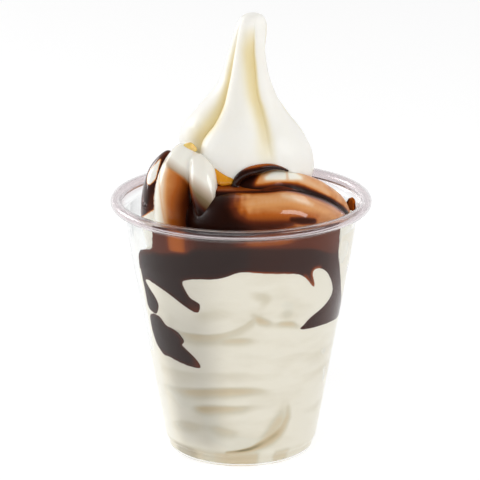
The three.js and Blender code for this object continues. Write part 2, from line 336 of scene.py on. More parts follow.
CORNERS = [(i, j, k) for i in (0, 1) for j in (0, 1) for k in (0, 1)]


def surface_net(field, low, step):
    """Vertices and quads of the surface where a grid of distances passes through zero."""
    cut = tuple(np.array(field.shape) - 1)
    inside = field < 0
    parts = [inside[tuple(slice(c[a], c[a] + cut[a]) for a in range(3))] for c in CORNERS]
    count = sum(part.astype(np.int8) for part in parts)
    active = (count > 0) & (count < 8)
    cells = np.argwhere(active)
    total = np.zeros((len(cells), 3))
    hits = np.zeros(len(cells))
    for a in range(3):
        for c in CORNERS:
            if c[a]:
                continue
            d = list(c)
            d[a] = 1
            first = field[tuple((cells + c).T)]
            second = field[tuple((cells + d).T)]
            crossed = (first < 0) != (second < 0)
            share = np.where(crossed, first / np.where(crossed, first - second, 1), 0)
            spot = np.tile(np.array(c, float), (len(cells), 1))
            spot[:, a] = share
            total += np.where(crossed[:, None], spot, 0)
            hits += crossed
    verts = low + step * (cells + total / hits[:, None])
    index = np.full(cut, -1, np.int64)
    index[active] = np.arange(len(cells))
    quads = []
    for a in range(3):
        b, c = (a + 1) % 3, (a + 2) % 3
        one = inside[tuple(slice(0, -1) if axis == a else slice(1, -1) for axis in range(3))]
        two = inside[tuple(slice(1, None) if axis == a else slice(1, -1) for axis in range(3))]
        offset = np.ones(3, int)
        offset[a] = 0
        spots = np.argwhere(one != two) + offset
        leaving = inside[tuple(spots.T)]
        ring = []
        for db, dc in ((-1, -1), (0, -1), (0, 0), (-1, 0)):
            at = spots.copy()
            at[:, b] += db
            at[:, c] += dc
            ring.append(index[tuple(at.T)])
        ring = np.stack(ring, axis=1)
        ring[~leaving] = ring[~leaving][:, ::-1]
        quads.append(ring)
    return verts, np.concatenate(quads)


def largest_part(verts, quads):
    """The vertices and quads of the largest connected surface."""
    label = np.arange(len(verts))
    while True:
        lowest = label[quads].min(axis=1)
        new = label.copy()
        for c in range(4):
            np.minimum.at(new, quads[:, c], lowest)
        new = new[new]
        if np.array_equal(new, label):
            break
        label = new
    keep = label[quads[:, 0]]
    names, counts = np.unique(keep, return_counts=True)
    quads = quads[keep == names[counts.argmax()]]
    used, flat = np.unique(quads, return_inverse=True)
    return verts[used], flat.reshape(-1, 4)


def solid_surface(distance, low, high, step, settle=2):
    """Meshes the solid where distance(x, y, z) is negative, and settles its vertices on the true surface."""
    low, high = np.asarray(low, float), np.asarray(high, float)
    count = np.ceil((high - low) / step).astype(int) + 1
    x = (low[0] + step * np.arange(count[0])).reshape(-1, 1, 1).astype(np.float32)
    y = (low[1] + step * np.arange(count[1])).reshape(1, -1, 1).astype(np.float32)
    z = (low[2] + step * np.arange(count[2])).reshape(1, 1, -1).astype(np.float32)
    field = np.array(np.broadcast_to(distance(x, y, z), tuple(count)), np.float32)
    for axis in range(3):
        edge = [slice(None)] * 3
        for end in (0, -1):
            edge[axis] = end
            field[tuple(edge)] = np.maximum(field[tuple(edge)], step * 0.5)
    verts, quads = surface_net(field, low, step)
    verts, quads = largest_part(verts, quads)
    for _ in range(settle):
        verts -= np.clip(distance(*verts.T), -step, step)[:, None] * slope_of(distance, verts)
    return verts, quads


def slope_of(distance, verts, reach=0.15):
    """The unit direction in which distance grows, at each vertex."""
    columns = []
    for axis in range(3):
        shift = np.zeros(3)
        shift[axis] = reach
        columns.append(distance(*(verts + shift).T) - distance(*(verts - shift).T))
    slope = np.stack(columns, axis=1)
    return slope / np.maximum(np.linalg.norm(slope, axis=1), 1e-9)[:, None]


MELT = 0.14  # mm over which neighbouring beads of a roll melt together


def roll(stations, samples=44):
    """Distance to a tapering roll through stations of (x, y, z, radius), as beads melted into one another."""
    beads = np.asarray(spline(stations, samples), float)
    gaps = np.linalg.norm(np.gradient(beads[:, :3], axis=0), axis=1)
    weights = np.minimum(1, gaps / np.sqrt(TURN * MELT * np.maximum(beads[:, 3], 0.1)))

    def distance(x, y, z):
        nearest = np.float32(1e9)
        for bx, by, bz, radius in beads:
            nearest = np.minimum(nearest, np.sqrt((x - bx) ** 2 + (y - by) ** 2 + (z - bz) ** 2) - radius)
        near = np.abs(nearest) < 1
        if near.any():
            px, py, pz = (np.broadcast_to(axis, nearest.shape)[near].astype(float) for axis in (x, y, z))
            base = nearest[near].astype(float)
            total = np.zeros(base.shape)
            for (bx, by, bz, radius), weight in zip(beads, weights):
                away = np.sqrt((px - bx) ** 2 + (py - by) ** 2 + (pz - bz) ** 2) - radius
                total += weight * np.exp((base - away) / MELT)
            nearest[near] = base - MELT * np.log(total)
        return nearest

    return distance


def within_cup(distance, reach=INTO_WALL, round_off=0.8):
    """A solid kept inside the wall, pressed a little into it."""

    def kept(x, y, z):
        return soft_max(distance(x, y, z), np.hypot(x, y) - inner_radius(z) - reach, round_off)

    return kept


def uneven(distance, field, depth):
    """A solid with small smooth unevenness of its surface."""

    def moved(x, y, z):
        return distance(x, y, z) + depth * bumps(field, x, y, z)

    return moved


# ---- finishes --------------------------------------------------------------------------------------
def linear(shade):
    """A display colour as the light that it stands for."""
    return tuple(c / 12.92 if c <= 0.04045 else ((c + 0.055) / 1.055) ** 2.4 for c in shade) + (1.0,)


def blended(a, b, share):
    return tuple(mix(p, q, share) for p, q in zip(a, b))


def fill_ramp(ramp, stops):
    """Gives a colour ramp its stops of (place, colour)."""
    while len(ramp.elements) > 1:
        ramp.elements.remove(ramp.elements[-1])
    ramp.elements[0].position, ramp.elements[0].color = stops[0]
    for at, shade in stops[1:]:
        ramp.elements.new(at).color = shade


def shades(*names):
    """Colours of the settings, by name."""
    return [tuple(getattr(settings().colours, name)) for name in names]


def add_node(tree, kind, inputs=(), **options):
    """A new node with its options set, and each input given a value or fed by a socket."""
    node = tree.nodes.new(kind)
    for name, value in options.items():
        setattr(node, name, value)
    for key, value in dict(inputs).items():
        if isinstance(value, bpy.types.NodeSocket):
            tree.links.new(value, node.inputs[key])
        else:
            node.inputs[key].default_value = value
    return node


class Finish:
    """A material with one Principled shader, and short ways to add nodes to it."""

    def __init__(self, name):
        self.material = bpy.data.materials.new(name)
        self.material.use_nodes = True
        self.tree = self.material.node_tree
        self.tree.nodes.clear()
        self.shader = self.node("ShaderNodeBsdfPrincipled")
        self.output = self.node("ShaderNodeOutputMaterial", {"Surface": self.shader.outputs["BSDF"]})
        self.places = self.node("ShaderNodeTexCoord").outputs["Object"]

    def node(self, kind, inputs=(), **options):
        return add_node(self.tree, kind, inputs, **options)

    def set(self, **values):
        for name, value in values.items():
            self.shader.inputs[name.replace("_", " ")].default_value = value
        return self

    def feed(self, name, socket):
        self.tree.links.new(socket, self.shader.inputs[name])

    def value(self, name):
        return self.node("ShaderNodeAttribute", attribute_name=name).outputs["Fac"]

    def noise(self, scale, detail=2.0, roughness=0.5, stretch=None, distortion=0.0):
        source = self.places
        if stretch:
            source = self.node("ShaderNodeMapping", {"Vector": source, "Scale": stretch}).outputs["Vector"]
        inputs = {"Scale": scale, "Detail": detail, "Roughness": roughness, "Distortion": distortion}
        return self.node("ShaderNodeTexNoise", {"Vector": source, **inputs}).outputs["Fac"]

    def maths(self, kind, *values, clamp=False):
        return self.node("ShaderNodeMath", enumerate(values), operation=kind, use_clamp=clamp).outputs[0]

    def span(self, source, low, high, to_low=0.0, to_high=1.0):
        limits = {"From Min": low, "From Max": high, "To Min": to_low, "To Max": to_high}
        return self.node("ShaderNodeMapRange", {"Value": source, **limits}).outputs["Result"]

    def ramp(self, source, stops):
        node = self.node("ShaderNodeValToRGB", {"Fac": source})
        fill_ramp(node.color_ramp, [(at, linear(shade)) for at, shade in stops])
        return node.outputs["Color"]

    def product(self, first, second):
        return self.node("ShaderNodeVectorMath", {0: first, 1: second}, operation="MULTIPLY").outputs["Vector"]

    def mottled(self, name, amount, spots):
        """A painted value, moved up and down by up to half an amount by a noise."""
        return self.maths("ADD", self.value(name), self.maths("MULTIPLY_ADD", spots, amount, -amount / 2), clamp=True)

    def roughened(self, spots, low, high):
        """Roughness between two values, by a noise."""
        return self.span(spots, 0.3, 0.7, low, high)

    def bump(self, *layers):
        """Adds bumps of (height socket, strength, depth in metres), one over another."""
        below = {}
        for height, strength, depth in layers:
            inputs = {"Strength": strength, "Distance": depth, "Height": height, **below}
            normal = self.node("ShaderNodeBump", inputs).outputs["Normal"]
            below = {"Normal": normal}
        self.feed("Normal", normal)
        if self.shader.inputs["Coat Weight"].default_value > 0:
            self.feed("Coat Normal", normal)
        return self


CREAM_GLOW = (1.0, 0.97, 0.92)  # how far each colour of light wanders in soft serve
SHADE_OF_DEEP_CREASE = (0.60, 0.55, 0.40)
PRESSED_SHADES = [(0.0, (1.0, 1.0, 1.0)), (0.5, (0.964, 0.948, 0.918)), (1.0, (0.83, 0.815, 0.79))]
COATED_SHADES = [
    (0.0, (1.0, 1.0, 1.0)), (0.33, (0.80, 0.74, 0.69)), (0.66, (0.52, 0.45, 0.35)), (1.0, (0.33, 0.20, 0.11)),
]
AMBER_SHADES = [(0.0, (0.99, 0.86, 0.55)), (0.5, (0.93, 0.66, 0.16)), (1.0, (0.80, 0.50, 0.05))]


def soft_serve_finish(name):
    """Plain soft serve: smooth, a little moist and see-through, with painted shade that yellows it where it is hollow.
    """
    cream, hollow = shades("cream", "hollow")
    made = Finish(name).set(
        IOR=1.35, Subsurface_Weight=0.35, Subsurface_Scale=0.003, Subsurface_Radius=CREAM_GLOW,
        Coat_Weight=0.2, Coat_Roughness=0.2,
    )
    # Painted shade: the hollow value yellows the cream in the valleys.
    made.feed("Base Color", made.ramp(made.mottled("hollow", 0.12, made.noise(140, 3.0)), [
        (0.0, cream), (0.35, blended(cream, hollow, 0.3)), (0.7, blended(cream, hollow, 0.75)), (1.0, hollow),
    ]))
    made.feed("Roughness", made.roughened(made.noise(420), 0.36, 0.52))
    return made.bump((made.noise(2600, 2.0, 0.6), 0.16, 0.00012), (made.noise(330), 0.16, 0.0005)).material


def pressed_serve_finish(name):
    """Soft serve against the plastic: no air in front of it, so no gloss of its own, and a cream greyed by painted
    shade.
    """
    cream, shaded, crease = shades("pressed", "shaded", "crease")
    made = Finish(name).set(
        Specular_IOR_Level=0.0, Subsurface_Weight=0.3, Subsurface_Scale=0.003, Subsurface_Radius=CREAM_GLOW,
    )
    # Painted shade: the hollow value greys and yellows the cream in creases and at the foot.
    tone = made.ramp(made.mottled("hollow", 0.3, made.noise(90, 3.0, stretch=(1.0, 1.0, 2.6))), [
        (0.0, cream), (0.28, blended(cream, shaded, 0.5)), (0.52, blended(cream, crease, 0.65)), (0.78, crease),
        (1.0, blended(crease, SHADE_OF_DEEP_CREASE, 0.75)),
    ])
    made.feed("Base Color", made.product(tone, made.ramp(made.value("shade"), PRESSED_SHADES)))
    made.feed("Roughness", made.roughened(made.noise(300), 0.5, 0.7))
    return made.bump((made.noise(240, 3.0, stretch=(1.0, 1.0, 2.0)), 0.2, 0.0008)).material


def coated_serve_finish(name, gloss=1.0):
    """Soft serve under sauce: from bare cream, through a caramel glaze, to the sauce itself."""
    cream, hollow, caramel, amber, brown, fudge = shades("cream", "hollow", "caramel", "amber", "brown", "fudge")
    made = Finish(name).set(
        IOR=1.36, Subsurface_Weight=0.12, Subsurface_Scale=0.002, Subsurface_Radius=(1.0, 0.8, 0.6),
        Specular_IOR_Level=0.2, Coat_Weight=gloss, Coat_Roughness=0.04, Coat_IOR=1.5,
    )
    glaze = made.ramp(made.mottled("sauce", 0.06, made.noise(210, 3.0, 0.55, distortion=0.4)), [
        (0.0, cream), (0.14, blended(cream, hollow, 0.25)), (0.3, blended(cream, caramel, 0.62)), (0.44, caramel),
        (0.58, amber), (0.74, brown), (0.9, blended(brown, fudge, 0.75)), (1.0, fudge),
    ])
    made.feed("Base Color", made.product(glaze, made.ramp(made.value("shade"), COATED_SHADES)))
    made.feed("Coat Weight", made.span(made.value("dull"), 0, 1, gloss, 0.06 * gloss))
    made.feed("Roughness", made.span(made.value("sauce"), 0.05, 0.5, 0.42, 0.3))
    return made.bump((made.noise(2200), 0.015, 0.0001), (made.noise(200), 0.012, 0.0005)).material


def fudge_finish(name, gloss=1.0):
    """The sauce itself: dark and glossy, redder where it is thin and where a sheen is painted; against the plastic it
    has no gloss of its own.
    """
    brown, fudge, amber, caramel = shades("brown", "fudge", "amber", "caramel")
    made = Finish(name).set(IOR=1.36, Specular_IOR_Level=0.5 * gloss)
    made.feed("Base Color", made.ramp(made.mottled("thin", 0.08, made.noise(170, 3.0, distortion=0.6)), [
        (0.0, fudge), (0.3, blended(fudge, brown, 0.4)), (0.6, brown), (0.82, amber), (1.0, caramel),
    ]))
    rough = made.roughened(made.noise(90), 0.1, 0.18)
    if gloss:
        rough = made.maths("MAXIMUM", rough, made.maths("MULTIPLY", made.value("dull"), 0.6))
    made.feed("Roughness", rough)
    return made.bump((made.noise(150), 0.1, 0.0006)).material


def amber_finish(name):
    """A clear yellow bead of the caramel glaze, with cream close behind it."""
    made = Finish(name).set(
        IOR=1.4, Subsurface_Weight=0.5, Subsurface_Scale=0.003, Subsurface_Radius=(1.0, 0.6, 0.12),
        Coat_Weight=0.6, Coat_Roughness=0.08,
    )
    made.feed("Base Color", made.ramp(made.mottled("sauce", 0.2, made.noise(300)), AMBER_SHADES))
    made.feed("Roughness", made.roughened(made.noise(200), 0.2, 0.35))
    return made.bump((made.noise(500), 0.08, 0.0003)).material


RIM_CLOUD_AND_SHADE = (0.925, 0.9, 0.905)  # the rolled rim is a little cloudy, where the sheet was worked, and greyed as a painted dark reflection
RIM_CLOUD_AND_SHADE_SPAN = (4.6, 3.6)  # mm below the top, where the cloudiness and painted reflection of the rim start and where they are full
BOUNCES_SEEN = 5  # light that has turned more often than this goes straight through the plastic


def clear_plastic_finish(name):
    """Clear thin plastic, a little uneven as drawn sheets are; lamps and light caught in it go straight through."""
    made = Finish(name).set(IOR=1.39, Transmission_Weight=1.0)
    height = made.node("ShaderNodeSeparateXYZ", {"Vector": made.places}).outputs["Z"]
    start, full = ((rim_height() - below) / MM for below in RIM_CLOUD_AND_SHADE_SPAN)
    rolled = made.span(height, start, full)
    # The rim's grey tint is partly cloudiness and partly a painted dark reflection.
    made.feed("Base Color", made.ramp(rolled, [(0.0, shades("plastic")[0]), (1.0, RIM_CLOUD_AND_SHADE)]))
    made.feed("Roughness", made.span(rolled, 0, 1, 0.02, 0.12))
    made.bump((made.noise(60, stretch=(1.0, 1.0, 0.35)), 0.1, 0.0006))
    surface = made.shader.outputs["BSDF"]
    path = made.node("ShaderNodeLightPath").outputs
    clear = made.node("ShaderNodeBsdfTransparent", {"Color": (0.97, 0.975, 0.975, 1)}).outputs[0]
    caught = made.maths("GREATER_THAN", path["Ray Depth"], BOUNCES_SEEN)
    for share in (path["Is Shadow Ray"], path["Is Diffuse Ray"], caught):
        surface = made.node("ShaderNodeMixShader", {0: share, 1: surface, 2: clear}).outputs[0]
    made.tree.links.new(surface, made.output.inputs["Surface"])
    return made.material


def finish(name):
    """The material of that name, made when it is first asked for."""
    makers = {
        "clear_plastic": clear_plastic_finish,
        "soft_serve": soft_serve_finish,
        "pressed_serve": pressed_serve_finish,
        "coated_serve": coated_serve_finish,
        "dull_coated_serve": lambda full_name: coated_serve_finish(full_name, gloss=0.25),
        "fudge": fudge_finish,
        "pressed_fudge": lambda full_name: fudge_finish(full_name, gloss=0.0),
        "amber_glaze": amber_finish,
    }
    full_name = name + "_finish"
    return bpy.data.materials.get(full_name) or makers[name](full_name)


# ---- the cup ---------------------------------------------------------------------------------------
def bend(x, y, radius, start, end, steps):
    """Points round part of a circle, with angles in degrees."""
    angles = np.radians(np.linspace(start, end, steps))
    return [(x + radius * math.cos(a), y + radius * math.sin(a)) for a in angles]


WALL_RINGS = (20, 40, 60, 69, 71, 71.7, 72.3, 73, 75, 80, 84, 85.6)  # heights; close together where the band starts
SHOULDER_HEIGHT = 87.2  # where the wall bends out into the rolled edge


def sheet_line():
    """The middle line of the sheet, from the centre of the base to the end of the rolled edge."""
    cup = settings().cup
    half = cup.sheet * MM / 2
    foot, bead = cup.foot_radius * MM, cup.bead_radius * MM
    punt, foot_top, top = cup.punt_height * MM, cup.foot_height * MM, cup.height * MM
    rim = cup.rim_radius * MM
    heights = (foot_top + 0.35, foot_top + 0.8, foot_top + 3, *WALL_RINGS)
    wall = [(float(wall_radius(z)) - half, z) for z in heights]
    edge = (rim - bead - half, top - bead - half)
    shoulder = spline([
        (*wall[-1], 0), (wall[-1][0] + 0.28, SHOULDER_HEIGHT, 0),
        (edge[0] - bead, edge[1] - 1.4, 0), (edge[0] - bead, edge[1], 0),
    ], 12)
    return [
        (0.0, punt + half), (9.0, punt + half), (17.6, punt + half),
        *bend(18.2, punt + half - 1.2, 1.2, 90, 50, 6),
        (20.3, half + 0.62), (21.2, half + 0.14), (21.8, half), (23.0, half),
        *bend(foot - half - 1.6, half + 1.6, 1.6, -90, 0, 10)[1:],
        (foot - half + 0.12, foot_top - 1.3), (foot - half + 0.22, foot_top - 0.95),
        (foot - half + 0.5, foot_top - 0.45), (foot - half + 0.95, foot_top - 0.12),
        *wall,
        *[(p[0], p[1]) for p in shoulder[1:]],
        *bend(edge[0], edge[1], bead, 180, -140, 34)[1:],
    ]


LATHE_RADIUS = 0.03  # of the circle that carries the line round
WELD = 1e-6  # metres within which points become one
LATHE_SOCKETS = {"Segments": "Int", "Sheet": "Float", "Lathe Radius": "Float", "Material": "Material"}


def lathe_tree():
    """Turns a drawn line about the upright axis and thickens it into a closed sheet; names its sockets."""
    tree = bpy.data.node_groups.new("turned_sheet", "GeometryNodeTree")
    face = tree.interface
    face.new_socket("Geometry", in_out="INPUT", socket_type="NodeSocketGeometry")
    face.new_socket("Geometry", in_out="OUTPUT", socket_type="NodeSocketGeometry")
    sockets = {
        name: face.new_socket(name, in_out="INPUT", socket_type="NodeSocket" + kind).identifier
        for name, kind in LATHE_SOCKETS.items()
    }
    given = tree.nodes.new("NodeGroupInput").outputs

    def shaped(kind, result, inputs, **options):
        return add_node(tree, "GeometryNode" + kind, inputs, **options).outputs[result]

    line = shaped("MeshToCurve", "Curve", {"Mesh": given["Geometry"]})
    rounds = {"Resolution": given["Segments"], "Radius": given["Lathe Radius"]}
    circle = shaped("CurvePrimitiveCircle", "Curve", rounds)
    turned = shaped("CurveToMesh", "Mesh", {"Curve": circle, "Profile Curve": line})
    weld = shaped("MergeByDistance", "Geometry", {"Geometry": turned, "Distance": WELD})
    inwards = add_node(tree, "ShaderNodeMath", {0: given["Sheet"], 1: -0.5}, operation="MULTIPLY").outputs[0]
    across = {0: shaped("InputNormal", "Normal", {}), "Scale": inwards}
    shift = add_node(tree, "ShaderNodeVectorMath", across, operation="SCALE").outputs["Vector"]
    centred = shaped("SetPosition", "Geometry", {"Geometry": weld, "Offset": shift})
    thickness = {"Offset Scale": given["Sheet"], "Individual": False}
    raised = shaped("ExtrudeMesh", "Mesh", {"Mesh": centred, **thickness}, mode="FACES")
    flipped = shaped("FlipFaces", "Mesh", {"Mesh": centred})
    both = add_node(tree, "GeometryNodeJoinGeometry", {"Geometry": raised})
    tree.links.new(flipped, both.inputs["Geometry"])
    closed = shaped("MergeByDistance", "Geometry", {"Geometry": both.outputs["Geometry"], "Distance": WELD})
    smooth = shaped("SetShadeSmooth", "Geometry", {"Geometry": closed})
    real = shaped("RealizeInstances", "Geometry", {"Geometry": smooth})
    painted = shaped("SetMaterial", "Geometry", {"Geometry": real, "Material": given["Material"]})
    add_node(tree, "NodeGroupOutput", {"Geometry": painted})
    return tree, sockets


def as_plain_mesh(holder, name):
    """The evaluated mesh of an object as a new object without modifiers; the first one is removed."""
    bpy.context.view_layer.update()
    graph = bpy.context.evaluated_depsgraph_get()
    mesh = bpy.data.meshes.new_from_object(holder.evaluated_get(graph))
    bpy.data.objects.remove(holder)
    mesh.name = name
    piece = bpy.data.objects.new(name, mesh)
    bpy.context.scene.collection.objects.link(piece)
    return piece


def outward_faces(mesh):
    """Turns every face of a closed mesh outwards."""
    shape = bmesh.new()
    shape.from_mesh(mesh)
    bmesh.ops.recalc_face_normals(shape, faces=shape.faces)
    if shape.calc_volume(signed=True) < 0:
        bmesh.ops.reverse_faces(shape, faces=shape.faces)
    shape.to_mesh(mesh)
    shape.free()


def build_cup():
    cup = settings().cup
    verts = [(x / MM - LATHE_RADIUS, -y / MM, 0) for x, y in sheet_line()]
    mesh = bpy.data.meshes.new("sheet_line")
    mesh.from_pydata(verts, [(i, i + 1) for i in range(len(verts) - 1)], [])
    holder = bpy.data.objects.new("sheet_line", mesh)
    bpy.context.scene.collection.objects.link(holder)
    tree, sockets = lathe_tree()
    lathe = holder.modifiers.new("lathe", "NODES")
    lathe.node_group = tree
    given = (cup.segments, cup.sheet, LATHE_RADIUS, finish("clear_plastic"))
    for name, value in zip(LATHE_SOCKETS, given):
        lathe[sockets[name]] = value
    piece = as_plain_mesh(holder, "clear_cup")
    outward_faces(piece.data)
    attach(piece, BODY)
    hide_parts("cup")


# ---- what is pressed against the wall --------------------------------------------------------------
# Outlines on the wall, as azimuth in degrees and height in millimetres.
FRONT_SAUCE = [
    (-47, 94), (-48, 84), (-50, 79.6), (-57, 78.2), (-63.4, 76.8), (-65.4, 74), (-65.8, 68), (-65, 62),
    (-65.4, 57.4), (-64, 55.8), (-60, 55.2), (-56, 55), (-53.6, 57), (-52, 59), (-53, 61), (-55.6, 62.8), (-58, 64),
    (-61, 65.6), (-62.4, 67), (-60, 67.6), (-55, 67.3), (-50, 66.6), (-42, 65), (-33, 61.8), (-28, 60.2),
    (-25.4, 59.7), (-23.6, 60.2), (-22.6, 61.8), (-22.4, 63.2), (-25, 64.2), (-28, 65), (-29.6, 66.6), (-31, 68.4),
    (-32, 70), (-31.4, 71.2), (-28, 72), (-24, 72.6), (-20, 72.8), (-14, 73.2), (-10, 73.8), (-6, 74.8), (-3, 75.8),
    (0, 76.3), (4, 76.2), (8, 75.8), (16, 75.2), (24, 74.6), (30, 74), (34, 72.6), (37.4, 70.4), (40.6, 68),
    (42.2, 67.6), (41.6, 69.4), (40, 71.8), (39.4, 73.4), (41, 74.6), (45, 74.2), (49, 72.6), (52, 70.8),
    (55, 68.4), (57.6, 66), (59.4, 63.6), (58.6, 61.6), (56, 60), (51, 58.2), (46, 57), (42, 55.9), (38, 53.8),
    (35.4, 52.4), (38, 51.9), (44, 51.6), (54, 51.3), (63, 50.9), (74, 50.1), (82, 50), (86, 51.6), (83, 54.2),
    (76, 58.4), (70, 62.6), (66, 66.4), (62, 71), (59.4, 75), (57.4, 80), (56, 86), (56, 94),
]
LOW_PATCH = [
    (-65, 53.2), (-61, 54.4), (-55, 55), (-51, 53.4), (-48, 52), (-44, 51.6), (-40, 50), (-36.4, 48), (-36, 47),
    (-37.6, 46.2), (-35, 45), (-31, 43.2), (-28, 41.6), (-25.6, 39.6), (-25.4, 38.4), (-28, 38), (-34, 38.3),
    (-42, 39), (-50, 39.9), (-57, 40.5), (-61.6, 42.2), (-64, 44.6), (-65.6, 48.6),
]
BACK_SAUCE = [
    (97, 79), (94.6, 82), (94, 86.5), (95.6, 89.4), (99, 90), (103, 88.2), (108, 85.8), (113, 84), (120, 83),
    (140, 81.6), (165, 83.5), (188, 82), (206, 83), (222, 81), (231, 77.6), (235, 73), (230, 69.6), (224, 67.4),
    (218, 66), (212, 67), (205, 70.4), (198, 71.8), (192, 70), (186, 68.6), (180, 69.6), (170, 71), (160, 70),
    (150, 70.8), (140, 69.4), (132, 67.4), (124, 68.4), (116, 70), (108, 68.6), (100, 70.6), (96, 74.6),
]
BACK_RUNS = [
    [(158, 74, 5), (163, 67, 3.6), (168, 60, 2.4), (171, 55, 1.3)],
    [(208, 74, 6), (214, 63, 4.4), (223, 52, 3.4), (231, 44, 1.4)],
    [(121, 74, 4), (124, 67, 2.6), (126, 61, 1.1)],
    [(190, 72, 3), (192, 66, 1.8), (193, 63, 0.9)],
]
ARC = math.radians(1) * 37  # width on the wall of one degree, in millimetres


def sauce_on_wall(azimuth, z):
    """How far inside the sauce a place on the wall is, in millimetres; negative outside it."""
    front = ((azimuth + 180) % 360 - 180) * ARC
    back = azimuth % 360 * ARC

    def patch(u, outline, passes):
        return inside_outline(u, z, rounded([(a * ARC, h) for a, h in outline], passes))

    wobble = 0.22 * np.sin(azimuth * 0.9 + z * 0.35) + 0.16 * np.sin(azimuth * 0.37 - z * 0.8 + 1)
    field = np.maximum(patch(front, FRONT_SAUCE, 1), patch(front, LOW_PATCH, 1))
    rear = patch(back, BACK_SAUCE, 2)
    for run in BACK_RUNS:
        beads = spline([(a * ARC, h, 0, w) for a, h, w in run], 24)
        near = np.min([b[3] - np.hypot(back - b[0], z - b[1]) for b in beads], axis=0)
        rear = -soft_min(-rear, -near, 1.6)
    return np.maximum(field, rear + wobble)


# Creases between turns of soft serve, pressed in a little and painted with shade: azimuth, height, width above, width
# below and strength at points along each.
CREASES = [
    [
        (-45, 51.2, 0.7, 2.2, 0.15), (-38, 50.8, 0.7, 3, 0.4), (-30, 50.7, 0.7, 3.4, 0.55),
        (-18, 51.3, 0.7, 3.4, 0.5), (-7, 52.8, 0.8, 2.8, 0.38), (1, 55.2, 0.8, 2.2, 0.32), (7, 58, 0.8, 1.8, 0.3),
        (11, 59.8, 0.8, 1, 0.08),
    ],
    [(-17, 49.2, 0.8, 1.4, 0.05), (-9, 49.9, 1.2, 1.8, 0.42), (2, 50.1, 1.2, 1.8, 0.42), (9, 49.8, 0.9, 1.4, 0.08)],
    [
        (7, 59.6, 1, 1.2, 0.2), (10, 57.8, 1.5, 1.6, 0.55), (14, 56.6, 1.4, 1.5, 0.5), (19, 55.8, 0.9, 1.3, 0.25),
        (24, 55.6, 1.1, 1.4, 0.5), (30, 54.8, 1.1, 1.4, 0.55), (35, 53.2, 0.8, 1, 0.15),
    ],
    [(4, 68.4, 1, 1.4, 0.05), (9, 67.4, 1.6, 2.2, 0.27), (13, 65.6, 2, 2.4, 0.3), (11, 62.8, 1.2, 1.4, 0.08)],
    [(20, 58.8, 0.8, 1, 0.05), (26, 58.8, 1.8, 2, 0.3), (31, 58.2, 1.2, 1.6, 0.08)],
    [(-28, 57.8, 1, 2, 0.05), (-20, 59, 1.6, 2.6, 0.22), (-10, 60.2, 1.6, 2.4, 0.16), (-4, 60.4, 1, 1.6, 0.04)],
    [
        (-60, 27.4, 0.8, 1.8, 0.12), (-46, 27.6, 1, 2.2, 0.3), (-34, 28.3, 1.3, 2.6, 0.58),
        (-16, 30, 1.3, 2.7, 0.6), (0, 30.6, 1.3, 2.6, 0.56), (10, 30.4, 1.2, 2.2, 0.34), (20, 29.4, 1, 1.6, 0.06),
    ],
    [
        (-35, 21.8, 0.8, 1.4, 0.1), (-29, 22.2, 1.2, 2.2, 0.58), (-16, 23.2, 1.2, 2.4, 0.58),
        (0, 23.6, 1.1, 2.2, 0.46), (8, 24, 1, 1.8, 0.2), (15, 24.2, 0.8, 1.2, 0.04),
    ],
    [
        (-64, 12.4, 1, 2, 0.12), (-52, 13.4, 1.4, 2.8, 0.32), (-38, 14.6, 1.4, 2.8, 0.34), (-26, 15, 1, 2, 0.12),
        (-16, 14.6, 1.6, 2.8, 0.34), (-6, 13.8, 1.4, 2, 0.26), (0, 13.6, 1, 1.4, 0.04),
    ],
    [
        (-11, 5.7, 0.6, 0.7, 0.8), (0, 6.5, 0.7, 0.8, 1.0), (9, 7.6, 1, 1.1, 0.9), (18, 9.6, 1.9, 2, 0.76),
        (26, 11.8, 2.2, 2.2, 0.74), (31.5, 14.8, 2, 2, 0.6), (34, 18.2, 1.9, 1.8, 0.5),
        (33.4, 21.6, 1.5, 1.5, 0.35), (32.6, 24.4, 1, 1, 0.06),
    ],
    [
        (13, 10.6, 1.6, 1.6, 0.1), (20, 12.4, 2.6, 2.4, 0.42), (26, 15.6, 3.4, 3, 0.46), (29, 19.6, 3, 2.8, 0.36),
        (30, 23.4, 2, 2, 0.1),
    ],
    [(16, 41.6, 0.8, 1.6, 0.04), (34, 42.4, 1, 2.8, 0.16), (52, 40.4, 1, 2.8, 0.14), (74, 41, 1, 2.6, 0.12)],
    [
        (-60, 34, 1, 2.2, 0.1), (-40, 34.6, 1.2, 3, 0.2), (-20, 36, 1.2, 3, 0.2), (4, 36.4, 1.2, 2.6, 0.14),
        (26, 35.2, 1, 2, 0.04),
    ],
    [(38, 34, 1, 2, 0.04), (50, 32.8, 1.2, 2.8, 0.13), (76, 33.4, 1.2, 2.8, 0.14)],
    [(42, 20, 1, 1.6, 0.04), (56, 18.6, 1.2, 2.6, 0.13), (80, 19.6, 1.2, 2.6, 0.14)],
]
COIL_PITCH = 9.5  # mm between turns of the hidden side
COIL_RADIUS = 36.0  # where the unevenness of what is pressed on the wall is taken from
COIL_FROM, COIL_FULL = 66, 108  # azimuths between which the coil takes over from the creases


def on_wall(azimuth):
    """Where an azimuth lies in the plane, at the radius that the unevenness is taken from."""
    angle = np.radians(azimuth)
    return np.sin(angle) * COIL_RADIUS, -np.cos(angle) * COIL_RADIUS


